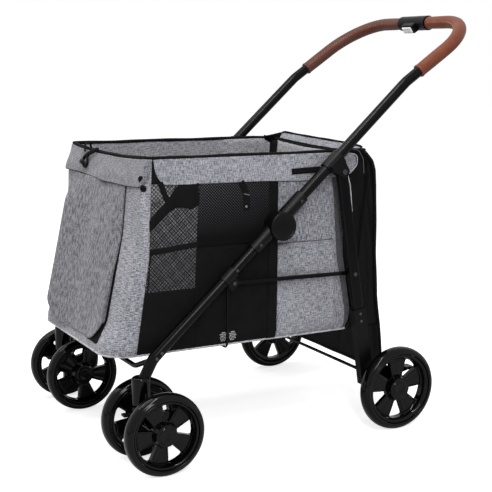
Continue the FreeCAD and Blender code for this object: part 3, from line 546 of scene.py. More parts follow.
buttonPlastic = moulded("buttonWhite", (225, 226, 228), (190, 190, 192), 0.3, 0.5)
boardFinish = moulded("baseBoard", (40, 38, 36), (70, 66, 60), 0.7, 0.2, 0.3)
leather = leathery("brownLeather", (128, 66, 42), (58, 27, 18), 0.25, 0.25, 0.2)
# the far grip's leather: a darker copy of the same leather, painted shade
leatherShaded = leathery("brownLeatherPaintedShade", (100, 56, 44), (48, 26, 21), 0.25, 0.35, 0.25)
thread = leathery("tanThread", (186, 128, 96), (140, 90, 66), 0.3, Cells=2500.0)

# the part's material slot that each finish stands for, unless a piece names another
slotMembers = {"grey_fabric": (greyCloth, greyClothSoft, greyClothCross, sideClothPaintedShade, doorClothPaintedShade, valanceClothPaintedShade,
                               paintedShadeCloth, greyLining, lightWelt, lightThread, seamCordAndHighlight),
               "black_fabric": (blackFabric, blackTape, coverCloth, padCloth, netCloth, innerNet, doubleNet),
               "black_plastic": (blackPlastic,), "gloss_black": (glossPlastic,), "tyre": (tyreRubber,),
               "steel": (steel,), "brown_leather": (leather, leatherShaded)}
slotOf = {material.name: slot for slot, members in slotMembers.items() for material in members}
# the finish that each of the part's own slots gets on the solids that stay
carriedOver = {"satin_black_metal": satinMetal, "black_plastic": blackPlastic, "gloss_black": glossPlastic,
               "tyre": tyreRubber, "button_white": buttonPlastic, "steel": steel, "brown_leather": leather,
               "grey_fabric": greyCloth, "black_fabric": blackFabric, "board": boardFinish}
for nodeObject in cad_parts.values():
    for k, slotMaterial in enumerate(nodeObject.material_slots):
        nodeObject.material_slots[k].material = carriedOver[slotMaterial.material.name.split(".")[0]]
for name in ("chassis_rivets", "handle_rivets", "leg_rivets", "fold_pins"):
    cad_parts[name].material_slots[0].material = rivetSteel
for name in ("caster_housing_left", "caster_housing_right", "caster_yoke_left", "caster_yoke_right", "rear_axles",
             "caster_axle_left", "caster_axle_right"):
    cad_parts[name].material_slots[0].material = glossPlastic
print("finishes made")


wheel = {"frontR": 95.0, "rearR": 105.0, "tyreHalf": 18.0, "rimHalf": 15.0, "spokeHalf": 5.5, "spokeInset": 5.0,
         "hubHalf": 16.5, "hubShare": 0.26, "windowIn": 0.32, "windowOut": 0.73, "halfIn": 11.0, "halfOut": 17.5,
         "tyreDepth": 16.0, "rearTurn": -90.0,
         "frontTurn": {"outer_left": 6.0, "inner_left": 22.0, "outer_right": 33.0, "inner_right": 29.0}}


def tyreProfile(radius):
    # closed section: a flat tread, round shoulders, full cheeks, and a lip that sits on the rim
    w, inner = wheel["tyreHalf"], radius - wheel["tyreDepth"]
    spots = [(inner + 0.2, -w + 4), (inner + 0.5, -w + 1.6), (inner + 2.5, -w + 0.4), (inner + 5, -w),
             (radius - 9, -w + 1.2), (radius - 5, -w + 3.6), (radius - 2.4, -w + 7), (radius - 0.8, -w + 11.5),
             (radius, 0), (radius - 0.8, w - 11.5), (radius - 2.4, w - 7), (radius - 5, w - 3.6),
             (radius - 9, w - 1.2), (inner + 5, w), (inner + 2.5, w - 0.4), (inner + 0.5, w - 1.6),
             (inner + 0.2, w - 4)]
    spots = np.array(spots)
    t = np.linspace(0, len(spots) - 1, 65)
    k = np.clip(t.astype(int), 0, len(spots) - 2)
    before, after = spots[np.maximum(k - 1, 0)], spots[np.minimum(k + 2, len(spots) - 1)]
    a, b, f = spots[k], spots[k + 1], (t - k)[:, None]
    # a smooth curve through the spots: cubic pieces whose slopes come from the neighbours
    ma, mb = (b - before) / 2, (after - a) / 2
    return ((2 * f ** 3 - 3 * f ** 2 + 1) * a + (f ** 3 - 2 * f ** 2 + f) * ma
            + (-2 * f ** 3 + 3 * f ** 2) * b + (f ** 3 - f ** 2) * mb)


def rimHeight(r, sector, radius, face):
    # height of one face of the rim over the wheel's middle, at radius r and angle sector from a window's
    # middle (degrees, 0 to 36): hub boss, crowned spokes with raised flanks, step up to the band, rounded lip
    share = r / radius
    hub = wheel["hubShare"]
    spoke = wheel["spokeHalf"] - face * wheel["spokeInset"]
    h = spoke + (wheel["hubHalf"] - 2.5 - spoke) * (1 - ramp(share, hub, hub + 0.05)) ** 1.5
    h = h + 2.5 * (1 - ramp(share, hub * 0.72, hub * 0.84)) - 1.2 * (1 - ramp(share, hub * 0.3, hub * 0.42))
    fromMiddle = 36.0 - sector
    onSpoke = ramp(share, hub + 0.02, hub + 0.08) * (1 - ramp(share, 0.66, 0.74))
    crown = 2.2 * np.cos(np.clip(fromMiddle / 22.0, 0, 1) * math.pi / 2) + 1.6 * bump(fromMiddle, 15.5, 2.6)
    h = h + crown * onSpoke
    h = h + (wheel["rimHalf"] - spoke) * ramp(share, 0.70, 0.79) ** 0.8
    return h


def rimPatches(radius, x, y, outward, start):
    # both faces of the rim on rings and spokes of points, with five windows left open and walled
    outer = radius - wheel["tyreDepth"] - 0.15
    inR, outR = wheel["windowIn"] * radius, wheel["windowOut"] * radius
    hubR = wheel["hubShare"] * radius
    radii = np.concatenate([np.linspace(6.2, hubR * 0.76, 7), np.linspace(hubR * 0.78, hubR * 1.16, 9),
                            np.linspace(hubR * 1.2, inR, 4)[:-1],
                            inR + (outR - inR) * (1 - np.cos(np.linspace(0, math.pi, 19))) / 2,
                            np.linspace(outR + 1.2, outer - 2.2, 10), [outer - 1.0, outer - 0.25, outer]])
    n = len(radii)
    t = np.concatenate([np.linspace(-1, -0.5, 13)[:-1], np.linspace(-0.5, 0.5, 17)[:-1],
                        np.linspace(0.5, 1, 13)[:-1]])
    depth = np.clip((radii - inR) / (outR - inR), 0, 1)
    shareShape = (1 - np.abs(2 * depth - 1) ** 5) ** (1 / 3.0)
    half = (wheel["halfIn"] + (wheel["halfOut"] - wheel["halfIn"]) * depth) * (0.62 + 0.38 * shareShape)
    inside = np.abs(t) <= 0.5
    sector = np.where(inside, half[:, None] * 2 * np.abs(t),
                      half[:, None] + (36 - half[:, None]) * (2 * np.abs(t) - 1))
    signed = np.sign(t) * sector
    turn = np.radians(start + (np.arange(5) * 72)[None, :, None] + signed[:, None, :]).reshape(n, -1)
    sectorAll = np.tile(sector[:, None, :], (1, 5, 1)).reshape(n, -1)
    r = np.broadcast_to(radii[:, None], turn.shape)
    heights = {face: rimHeight(r, sectorAll, radius, face * outward)
               - np.maximum(r - outer + 1.6, 0) * 1.2 for face in (1, -1)}
    cols = turn.shape[1]
    # the faces that start at these columns lie in a window
    columnOpen = np.tile((np.abs(t) < 0.5) | (t == -0.5), 5)
    firstOpen, lastOpen = np.searchsorted(radii, inR - 1e-6), np.searchsorted(radii, outR + 1e-6) - 1
    keep = np.ones((n - 1, cols), bool)
    keep[firstOpen:lastOpen, columnOpen] = False
    patches = []
    for side in (1, -1):
        points = place(x + side * heights[side], y + r * np.cos(turn), radius + r * np.sin(turn))
        uv = closedUv(again(r), np.concatenate([turn, turn[:, :1] + 2 * math.pi], 1))
        patches.append(grid(points, uv, wrapV=True, keep=keep, flip=side < 0))
    # walls: the rim's outer edge, the bore, and round each window
    for row, flip in ((n - 1, False), (0, True)):
        ends = np.stack([place(x + s * heights[s][row], y + r[row] * np.cos(turn[row]),
                               radius + r[row] * np.sin(turn[row]))
                         for s in (1, -1)])
        patches.append(grid(ends, wrapV=True, flip=flip))
    perSector = len(t)
    a, b = int(np.flatnonzero(t == -0.5)[0]), int(np.flatnonzero(t == 0.5)[0])
    for k in range(5):
        c0, c1 = k * perSector + a, k * perSector + b
        rowsUp = np.arange(firstOpen, lastOpen + 1)
        loopRows = np.concatenate([rowsUp, np.full(c1 - c0 - 1, lastOpen), rowsUp[::-1],
                                   np.full(c1 - c0 - 1, firstOpen)])
        loopCols = np.concatenate([np.full(len(rowsUp), c0), np.arange(c0 + 1, c1), np.full(len(rowsUp), c1),
                                   np.arange(c1 - 1, c0, -1)])
        rr, tt = r[loopRows, loopCols], turn[loopRows, loopCols]
        high, low = heights[1][loopRows, loopCols], -heights[-1][loopRows, loopCols]
        levels = np.array([1, 0.93, 0.07, 0])[:, None]
        walls = place(x + low + levels * (high - low), y + rr * np.cos(tt) + 0 * levels,
                      radius + rr * np.sin(tt) + 0 * levels)
        patches.append(grid(walls, wrapV=True, flip=True))
    return patches


def makeWheel(label, radius, x, y, body, nodes, outward, start):
    tyre = tyreProfile(radius)
    patches = [lathe(tyre, (x, y, radius), 120)]
    patches.append(lathe(tyre[[-1, 0]], (x, y, radius), 120))
    piece(label + "_tyre", patches, tyreRubber, body, nodes[0], merge=1e-6)
    piece(label + "_rim", rimPatches(radius, x, y, outward, start), glossPlastic, body, nodes[1], sharp=38,
          merge=1e-6)


for side, label in bothSides:
    for spot, outward in (("outer", side), ("inner", -side)):
        low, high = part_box(f"front_tyre_{spot}_{label}")
        makeWheel(f"front_wheel_{spot}_{label}", wheel["frontR"], (low.x + high.x) * 500,
                  ((low.y + high.y) / 2 - axleY) * 1000, f"front_wheel_{spot}_{label}",
                  (f"front_tyre_{spot}_{label}", f"front_rim_{spot}_{label}"), outward,
                  wheel["frontTurn"][f"{spot}_{label}"])
    low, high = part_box(f"rear_tyre_{label}")
    makeWheel(f"rear_wheel_{label}", wheel["rearR"], (low.x + high.x) * 500, 0.0, f"rear_wheel_{label}",
              (f"rear_tyre_{label}", f"rear_rim_{label}"), side, wheel["rearTurn"])
print("wheels made")


handle = {"bend": (35.36, 860.95), "slope": 34.0, "backY": 260.0, "sideX": 261.0, "gripFrom": 44.0,
          "cornerR": 130.0, "gripR": 17.0, "boreR": 13.3, "girth": 0.107, "gripEnd": 56.6, "seamTurn": 38.0,
          "stitch": 7.0, "stitchHalf": 3.1, "stitchLean": 2.0, "stitchR": 0.62}


def gripPath(side):
    # the grip's middle line: up the slanted leg of the handle, round its corner and inward along the bar
    slope = math.radians(handle["slope"])
    y0, z0 = handle["bend"]
    along = np.array([0, math.cos(slope), math.sin(slope)])
    start = np.array([handle["sideX"], y0, z0]) + along * handle["gripFrom"]
    reach = (handle["backY"] - y0) / math.cos(slope)
    corner = np.array([handle["sideX"], y0, z0]) + along * reach
    end = np.array([handle["gripEnd"], corner[1], corner[2]])
    path = evenly(roundedPath([start, corner, end], [handle["cornerR"]]), 150)
    path[:, 0] *= side
    return path, np.array([0, -math.sin(slope), math.cos(slope)])


def makeGrip(side, label):
    path, up = gripPath(side)
    n = len(path)
    run = np.linspace(0, 1, n)
    # the wrap swells a little between its ends and rolls over at each end
    length = wholeLength(path)
    fromEnd = np.minimum(run, 1 - run) * length
    radius = (handle["gripR"] - 1.0 + 0.5 * ramp(fromEnd, 0, 60) + 1.0 * bump(fromEnd, 4.0, 3.5)
              - 1.6 * (1 - ramp(fromEnd, 0, 2.5)))
    tangent = unit(np.gradient(path, axis=0))
    upAll = np.broadcast_to(up, path.shape)
    inward = unit(np.cross(upAll, tangent)) * side
    seam = math.radians(handle["seamTurn"])
    turn = circle(48)
    # the seam is a shallow groove along the inside of the loop, between two low welts
    away = np.abs((turn - seam + math.pi) % (2 * math.pi) - math.pi) * handle["gripR"]
    groove = -0.9 * bump(away, 0, 0.9) + 0.55 * bump(away, 3.0, 1.8)
    r = radius[:, None] + groove[None]
    ring = r[..., None] * (np.cos(turn)[None, :, None] * inward[:, None]
                           + np.sin(turn)[None, :, None] * upAll[:, None])
    points = place(*np.moveaxis(path[:, None] + ring, -1, 0))
    u, v = np.meshgrid(run * length * 0.001, np.arange(49) / 48 * handle["girth"], indexing="ij")
    patches = [grid(points, np.stack([v, u], -1), wrapV=True, flip=side < 0)]
    for k, flip in ((0, side > 0), (-1, side < 0)):
        shrunk = path[k] + ring[k] * (handle["boreR"] / handle["gripR"])
        ends = np.stack([points[k], place(*np.moveaxis(shrunk, -1, 0))])
        patches.append(grid(ends, wrapV=True, flip=flip))
    inner = place(*np.moveaxis(path[::6][:, None] + ring[::6] / r[::6, :, None] * handle["boreR"], -1, 0))
    patches.append(grid(inner, wrapV=True, flip=side > 0))
    # the far grip takes the darker leather copy as painted shade
    piece("grip_" + label, patches, leather if side > 0 else leatherShaded, "handle", "handle_grips", merge=1e-6)
    # cross stitches: short slanting threads that bridge the groove
    spots = np.arange(10, int(length) - 8, handle["stitch"]) / length
    at = np.stack([np.interp(spots, run, path[:, k]) for k in range(3)], -1)
    tan = np.stack([np.interp(spots, run, tangent[:, k]) for k in range(3)], -1)
    inn = np.stack([np.interp(spots, run, inward[:, k]) for k in range(3)], -1)
    rad = np.interp(spots, run, radius)
    rings = []
    lean = np.linspace(-1, 1, 7)
    for s in lean:
        a = seam + s * handle["stitchHalf"] / handle["gripR"]
        out = np.cos(a) * inn + np.sin(a) * up
        rings.append(at + out * (rad + 0.75 - 0.5 * abs(s) ** 3 * 2)[:, None] + tan * (s * handle["stitchLean"]))
    centre = np.stack(rings, 1)
    along = unit(np.gradient(centre, axis=1))
    outward = unit(centre - at[:, None])
    across = np.cross(along, outward)
    turn = circle(6)
    thin = handle["stitchR"] * np.sqrt(np.clip(1.02 - lean ** 2, 0, 1))[None, :, None, None]
    around = np.cos(turn)[:, None] * across[:, :, None] + np.sin(turn)[:, None] * outward[:, :, None]
    threads = centre[:, :, None] + thin * around
    stitches = [grid(place(*np.moveaxis(t, -1, 0)), wrapV=True) for t in threads]
    piece("grip_stitches_" + label, stitches, thread, "handle")


for side, label in bothSides:
    makeGrip(side, label)


knuckle = {"y": -317.7, "z": 529.8, "from": 276.6, "top": 284.0,
           "rim": ((6.0, 0.0), (33.0, 0.0), (33.9, 0.8)),
           "dome": ((34.0, 3.4), (33.4, 1.4), (31.8, 0.3), (30.0, 0.0), (28.6, 0.5), (27.8, 1.6), (26.6, 1.8),
                    (24.0, 1.2), (18.0, 0.4), (9.0, 0.05), (0.01, 0.0))}
for side, label in bothSides:
    # each dome row is a radius and its depth below the top; the rim rows stand up from the lower edge
    profile = [(r, knuckle["from"] + up) for r, up in knuckle["rim"]]
    profile += [(r, knuckle["top"] - down) for r, down in knuckle["dome"]]
    dome = lathe(profile, (0, knuckle["y"], knuckle["z"]), 72, side)
    piece("knuckle_dome_" + label, [dome], blackPlastic, "handle", "knuckle_covers", sharp=50, merge=2e-5)
print("handle made")


basket = {"stations": ((250.0, -738.0, -108.0, 232.0), (275.0, -733.0, -98.0, 241.0), (475.0, -690.0, -75.0, 241.0),
                       (692.0, -643.0, -54.0, 241.0)),
          "bottom": 251.0, "lining": 3.0, "bow": 21.0, "rimZ": 694.0, "frontSag": 8.0, "rearSag": 12.0}
stationZ = np.array([s[0] for s in basket["stations"]])
cornerRadius = ((250, 275, 475, 560, 692), (64, 58, 43, 14, 6))
seamBack = ((250, 275, 475, 692), (66, 60, 47, 8))


def station(z):
    # front, rear, half width and front corner radius at height z, straight between the stations
    outline = [np.interp(z, stationZ, [s[k] for s in basket["stations"]]) for k in (1, 2, 3)]
    return outline + [np.interp(z, *cornerRadius)]


def bowAt(x, z):
    # the middle of the front stands ahead of its sides, most at half height
    hold = ramp(z, 262, 330) * (1 - ramp(z, 500, 650))
    return basket["bow"] * hold * np.clip(np.abs(x) / 190, 0, 1) ** 2


def frontY(x, z):
    # the front wall: nearly flat, with a quarter circle at each corner
    front, _, half, radius = station(z)
    past = np.clip(np.abs(x) - (half - radius), 0, radius * 0.9999)
    return front + radius - np.sqrt(radius ** 2 - past ** 2) + bowAt(x, z) * (1 - past / radius)


def frontWrap(t, z, out, wrap):
    # t from -1 to 1 runs along the front's outline: side, round corner, front, round corner, side
    front, _, half, radius = station(z)
    r, flat = radius + out, half - radius
    p = np.abs(t) * (flat + r * math.pi / 2 + wrap)
    a = np.clip((p - flat) / r, 0, math.pi / 2)
    x = np.minimum(p, flat) + r * np.sin(a)
    y = front + radius - r * np.cos(a) + np.maximum(p - flat - r * math.pi / 2, 0)
    y = y + bowAt(np.minimum(p, flat), z) * np.cos(a)
    return np.sign(t) * x, y, np.sign(t) * p, a


def rearY(z):
    return station(z)[1]


def halfX(z):
    return station(z)[2]


def rimSag(x, y):
    # how far the rim hangs below its corners, front and rear
    share = np.clip(1 - (x / 222.0) ** 2, 0, 1)
    return basket["frontSag"] * share ** 0.8 * (y < -560) + basket["rearSag"] * share * (y > -110)


def shoulderDrop(y, z):
    # the walls' upper edge falls away toward the rear corners
    return 14.0 * ramp(y, -86, -58) * ramp(z, 600, 694)


def wallPatch(yFrom, yTo, zFrom, zTo, side, out=0.0, nu=40, nv=40, relief=None):
    # a patch of a side wall: rows at heights zFrom to zTo, between two edges given as y of z
    t, s = span(0, 1, nu, 0, 1, nv)
    z = zFrom + (zTo - zFrom) * s
    a = yFrom(z) if callable(yFrom) else yFrom + 0 * z
    b = yTo(z) if callable(yTo) else yTo + 0 * z
    y = a + (b - a) * t
    z = z - shoulderDrop(y, z)
    x = halfX(z) + out
    if relief is not None:
        x = x + relief(y, z)
    return drape(side * x, y, z, y, z, flip=side < 0)


def shapePatch(ys, lows, highs, side, out, nu=40, nv=14, puff=0.0):
    # a piece of cloth on a side wall between a lower and an upper edge, both z of y
    t, s = span(0, 1, nu, 0, 1, nv)
    y = ys[0] + (ys[-1] - ys[0]) * t
    low, high = np.interp(y, ys, lows), np.interp(y, ys, highs)
    z = low + (high - low) * s
    x = halfX(z) + out + puff * np.sin(math.pi * s) ** 0.7
    return drape(side * x, y, z, y, z, flip=side < 0)


def ribbon(spots, width, facing, out, side, nv=5, count=40):
    # a flat strap on a side wall along spots (y, z); facing 1 or -1 turns its face outward
    path = evenly(np.asarray(spots, float), count)
    tangent = unit(np.gradient(path, axis=0))
    across = np.stack([-tangent[:, 1], tangent[:, 0]], -1)
    w = np.linspace(-0.5, 0.5, nv) * width
    yz = path[:, None] + across[:, None] * w[None, :, None]
    z = yz[..., 1]
    x = halfX(z) + out
    run = np.linspace(0, 1, count)[:, None] * wholeLength(path) + 0 * w[None]
    flipped = (side < 0) != (facing < 0)
    return grid(place(side * x, yz[..., 0], z), np.stack([w[None] + 0 * run, run], -1) * 0.001, flip=flipped)


wall = {"window": ((390, 542, 633, 694), (-527, -521, -515, -512)), "windowLow": 397.0, "windowTop": 640.0,
        "tapeFront": -335.0, "tapeBack": -311.0,
        "greyBack": ((250, 275, 300, 441, 602, 634, 694), (-112, -104, -99, -124, -130, -134, -142)),
        "foldBack": ((250, 302, 438, 603, 640, 694), (-119, -118, -145.5, -159.5, -165, -176)),
        "pocketTop": 482.0, "pocketFront": -309.0, "pocketBack": -147.0, "hem": 2.6}


def line(key):
    zs, ys = wall[key]
    return lambda z: np.interp(z, zs, ys)


windowLine, greyLine, foldLine = line("window"), line("greyBack"), line("foldBack")


def seamLine(z):
    # the grey front meets the black side just behind the corner
    return station(z)[0] + np.interp(z, *seamBack)


def makeFront():
    # the front wall: its outline carried up from the bottom to the rim, less the rim's sag, plus the cloth's slack
    t, z = span(-1, 1, 150, basket["bottom"], basket["rimZ"], 90)
    x, y, p, a = frontWrap(t, z, 0.0, 2.0 + np.interp(z, *seamBack) - np.interp(z, *cornerRadius))
    sag = rimSag(x, y)
    z = basket["bottom"] + (z - basket["bottom"]) * (1 - sag / (basket["rimZ"] - basket["bottom"]))
    # the cloth is a little slack: broad soft hollows, and pulls that rise from the lower corners
    pull = np.abs(x) - 0.35 * (z - 250)
    slack = 1.8 * ripple(x / 60, z / 80, 3) + 1.2 * bump(pull, 170, 14) * (1 - ramp(z, 450, 560))
    slack = slack * ramp(z, 250, 290) * (1 - ramp(z, 600, 640)) * (1 - ramp(np.abs(t), 0.86, 0.97))
    x, y = x + np.sign(t) * np.sin(a) * slack, y - np.cos(a) * slack
    return piece("basket_front", [drape(x, y, z, z, p, flip=True)], greyCloth, "chassis", "basket_tub", thick=1.2)


frontCloth = makeFront()


def sideSlack(y, z):
    # soft hollows of the stretched side cloth, still at its edges
    hold = ramp(z, 255, 290) * (1 - ramp(z, 590, 632)) * ramp(y, -690, -640)
    return 1.2 * ripple(y / 50, z / 70, 11) * hold


def rearSlack(y, z):
    # the grey rear side: a pull from the tube's bracket down and forward, and a tuck along its rear edge
    tuck = ramp(y - foldLine(z), -3, 9)
    pull = (y + 196) * 0.62 - (z - 636) * 0.78
    crease = (bump(pull, 0, 8) * ramp(z, 530, 580) * (1 - ramp(z, 628, 640))
              - 0.8 * bump(pull, 20, 14) * ramp(z, 520, 580))
    return sideSlack(y, z) * (1 - tuck) - 4.0 * tuck + 5.5 * crease * (1 - tuck)


def blackStrip(y, z):
    # the dark strip behind the grey side falls in long upright folds
    return -3.6 + 1.4 * np.sin((y + 0.12 * z) / 4.2) * ramp(z, 260, 330)


def stitchRow(path, outward, length=3.2, gap=2.2, r=0.42):
    # a row of short raised threads along a path; outward is the way they stand off, all mm
    path = np.asarray(path, float)
    total = wholeLength(path)
    count = max(2, int(total / (length + gap)))
    at = evenly(path, count * 2)
    a, b = at[0::2][:count], at[1::2][:count]
    mid, half = (a + b) / 2, unit(b - a) * length / 2
    outward = np.broadcast_to(np.asarray(outward, float), mid.shape)
    across = np.cross(unit(half), outward)
    s = np.linspace(-1, 1, 5)
    lift = np.sqrt(np.clip(1.04 - s ** 2, 0, 1)) * r
    turn = circle(5)
    centre = mid[:, None] + half[:, None] * s[None, :, None] + outward[:, None] * (lift * 0.8)[None, :, None]
    around = np.cos(turn)[:, None] * across[:, None, None] + np.sin(turn)[:, None] * outward[:, None, None]
    threads = centre[:, :, None] + lift[None, :, None, None] * around
    return [grid(place(*np.moveaxis(t, -1, 0)), wrapV=True) for t in threads]


turn6 = circle(6)
for side, label in bothSides:
    low, high = basket["bottom"], basket["rimZ"]
    seamEdge = lambda z: seamLine(z) - 1
    patches = [wallPatch(seamEdge, windowLine, low, wall["windowLow"], side, relief=sideSlack),
               wallPatch(windowLine, wall["tapeBack"] + 2, low, high, side, relief=sideSlack, nu=60, nv=90),
               wallPatch(seamEdge, windowLine, wall["windowTop"], high, side, relief=sideSlack, nv=14),
               wallPatch(seamEdge, lambda z: seamLine(z) + 3.5, wall["windowLow"], wall["windowTop"], side, nu=3)]
    cloth = piece("side_black_" + label, patches, blackFabric, "chassis", "basket_tub", thick=1.0)
    for name, material, out in (("side_net_", netCloth, -1.4), ("side_inner_net_", innerNet, -5.0)):
        net = wallPatch(seamEdge, lambda z: windowLine(z) + 4, wall["windowLow"] - 3, wall["windowTop"] + 4, side,
                        out=out)
        piece(name + label, [net], material, "chassis")
    double = wallPatch(windowLine, wall["tapeFront"] + 2, 490, 640, side, out=0.5, relief=sideSlack)
    piece("side_double_net_" + label, [double], doubleNet, "chassis", thick=0.4)
    # the grey rear side takes the darker cloth, as painted shade from the rear leg
    rearPart = wallPatch(wall["tapeBack"] - 2, lambda z: foldLine(z) + 12, low, high, side, out=0.3, relief=rearSlack,
                         nu=70, nv=100)
    cloth = piece("side_grey_" + label, [rearPart], sideClothPaintedShade, "chassis", "basket_tub", thick=1.1)
    # a dark strip in the fold at the grey side's rear edge: painted shade in the crease
    tuckShade = wallPatch(lambda z: foldLine(z) + 4, greyLine, low, high, side, out=-2.4,
                       relief=lambda y, z: bump(y - greyLine(z), 0, 5), nu=14, nv=80)
    piece("side_tuck_shade_" + label, [tuckShade], paintedShadeCloth, "chassis", "basket_tub", thick=0.9)
    strip = wallPatch(lambda z: greyLine(z) - 3, lambda z: rearY(z) - 1, low, high, side, out=-0.4, relief=blackStrip,
                      nu=40, nv=60)
    cloth = piece("side_rear_" + label, [strip], blackFabric, "chassis", "basket_tub", thick=1.0)
    tape = wallPatch(wall["tapeFront"], wall["tapeBack"], low, 640, side, out=1.3, relief=sideSlack, nu=8, nv=80)
    piece("side_tape_" + label, [tape], blackTape, "chassis", thick=1.2)
    # straps over the window: one level, one slanting, a thin upright one, and a gathered black curtain above
    straps = [ribbon([(-643, 487), (-600, 490), (-560, 494), (-519, 498)], 13.0, 1, 0.9, side),
              ribbon([(-613, 643), (-596, 600)], 12.0, -1, 0.9, side),
              ribbon([(-636, 492), (-641, 440), (-646, 394)], 2.6, -1, 0.8, side)]
    piece("window_straps_" + label, straps, blackTape, "chassis", thick=1.0)
    curtain = shapePatch((-640, -602, -593, -575, -556, -536, -519), (532, 565, 573, 584, 583, 578, 586),
                         (560, 597, 606, 630, 642, 642, 642), side, 0.6, puff=2.2)
    piece("window_curtain_" + label, [curtain], blackFabric, "chassis", thick=1.0)
    # a short tab hangs from the valance: strap, buckle bar and rivet
    tab = ribbon([(-411, 636), (-404, 622), (-397, 607), (-396, 590), (-396, 570)], 15.0, -1, 2.4, side)
    piece("side_tab_" + label, [tab], blackTape, "chassis", thick=1.4)
    bar = np.array([[-404.5, 607.5], [-402, 606.8], [-392, 604.2], [-389.5, 603.6]])
    piece("side_tab_bar_" + label, sweep(place(side * 244.6, bar[:, 0], bar[:, 1]), 0.0013, 8), steel, "chassis")
    dome = np.array([(3.2, 242.6), (3.4, 244.2), (2.9, 245.0), (1.6, 245.5), (0.01, 245.7)])
    piece("side_tab_rivet_" + label, [lathe(dome, (0, -397.0, 577.0), 20, side)], steel, "chassis", merge=2e-5)
    # two small vents low on the side: black patches with staggered rows of pale eyelets
    vents = [wallPatch(a, b, 261, 286, side, out=0.9, nu=8, nv=8) for a, b in ((-462, -443), (-438, -419))]
    piece("side_vents_" + label, vents, blackFabric, "chassis", thick=0.4)
    eyelets = []
    for first in (-462, -438):
        for k in range(6):
            for j in range(5):
                y, z = first + 1.6 + 3.6 * j + 1.8 * (k % 2) - 0.5 * k, 263.4 + 4.0 * k
                if 0 < k < 5 or 0 < j < 4:
                    ring = place(side * (halfX(z) + 1.0), y + 1.25 * np.cos(turn6), z + 1.5 * np.sin(turn6))
                    eyelets.append(fan(ring, place(side * (halfX(z) + 1.7), y, z), flip=side < 0))
    piece("vent_eyelets_" + label, eyelets, lightThread, "chassis")
    # patch pocket with a turned hem and two rows of stitches
    pocketBack = lambda z: np.minimum(wall["pocketBack"] + 0 * z, foldLine(z) - 5)
    swell = lambda y, z: (sideSlack(y, z) + 1.2 * np.sin(np.clip((z - 262) / 216, 0, 1) * math.pi)
                          * np.sin(np.clip((y + 309) / 150, 0, 1) * math.pi) + 0.3 * bump(z, 477, 5)
                          - 0.6 * bump(z, 464, 3))
    pocket = wallPatch(wall["pocketFront"], pocketBack, 258, wall["pocketTop"], side, out=1.0, relief=swell, nu=50,
                       nv=60)
    cloth = piece("side_pocket_" + label, [pocket], greyClothCross, "chassis", thick=1.0)
    rows = []
    for zRow in (479.0, 470.5):
        ys = np.linspace(-305, -150, 60)
        row = np.stack([side * (halfX(zRow) + 1.2 + swell(ys, zRow)), ys, zRow + 0 * ys], -1)
        rows += stitchRow(row, (side, 0, 0))
    piece("pocket_stitches_" + label, rows, seamCordAndHighlight, "chassis")
    # a thin dark cord just above the pocket's top edge: painted shadow of the pocket's mouth
    ys = np.linspace(wall["pocketFront"] + 1, foldLine(wall["pocketTop"]) - 6, 60)
    zs = wall["pocketTop"] + 1.3 + 0.5 * np.sin(ys / 14)
    mouthShadow = place(side * (halfX(zs) + 0.8 + swell(ys, zs)), ys, zs)
    piece("pocket_mouth_" + label, sweep(mouthShadow, 0.0009, 8, ref=(1, 0, 0)), paintedShadeCloth, "chassis")
    # the grey side ends in a thin welt that runs up past the bracket
    welt = roundedPath([(243.4, -128, 690.5), (243.8, -90, 688), (244.0, -91, 660), (244.0, -117, 638),
                        (243.4, -109, 612), (242.8, -101, 548)], [13, 22, 7, 30])
    welt[:, 0] *= side
    piece("side_welt_" + label, tube(welt, 0.0013, 8, ref=(1, 0, 0)), lightWelt, "chassis")
print("basket sides made")

zz, xx = span(basket["bottom"], basket["rimZ"], 60, -1, 1, 60)
xx = xx * (halfX(zz) - 0.5)
zz = basket["bottom"] + (zz - basket["bottom"]) * (1 - rimSag(xx, -60) / (basket["rimZ"] - basket["bottom"]))
zz = zz - shoulderDrop(-55, zz) * ramp(np.abs(xx), 190, 238)
hollow = 0.3 * (ripple(xx / 40, zz / 60, 5) + 1) * ramp(zz, 250, 290) * (1 - ramp(zz, 640, 690))
cloth = piece("basket_rear", [drape(xx, rearY(zz) + 0.4 - hollow, zz, xx, zz)], blackFabric, "chassis", "basket_tub",
              thick=1.0)


def planRing(z, inset, cornerSteps=12, sideSteps=30, split=None):
    # closed outline of the basket at height z moved inwards: left side, rear, right side, corner, front, corner
    front, rear, half, radius = station(z)
    x, r = half - inset, radius - inset
    y0, y1, tangent = front + inset, rear - inset, front + radius
    middle = (tangent + (y1 - tangent) * 0.25) if split is None else split + 0 * z
    t = np.linspace(0, 1, sideSteps + 1)[None, :-1]
    short = np.linspace(0, 1, cornerSteps + 1)[None, :-1]
    a = short * math.pi / 2
    flat = x - r
    xs = [x + 0 * short, x + 0 * t, x * (1 - 2 * t), -x + 0 * t, -x + 0 * short, -flat - r * np.cos(a),
          flat * (2 * t - 1), flat + r * np.sin(a)]
    ys = [tangent + (middle - tangent) * short, middle + (y1 - middle) * t, y1 + 0 * t * x, y1 + (middle - y1) * t,
          middle + (tangent - middle) * short, y0 + r - r * np.sin(a), y0 + 0 * t * x, y0 + r - r * np.cos(a)]
    x, y = np.concatenate(xs, 1), np.concatenate(ys, 1)
    atFront = (y < y0 + r) * np.clip((y0 + r - y) / np.maximum(r, 1e-6), 0, 1)
    return x, y + bowAt(np.minimum(np.abs(x), flat), z) * atFront


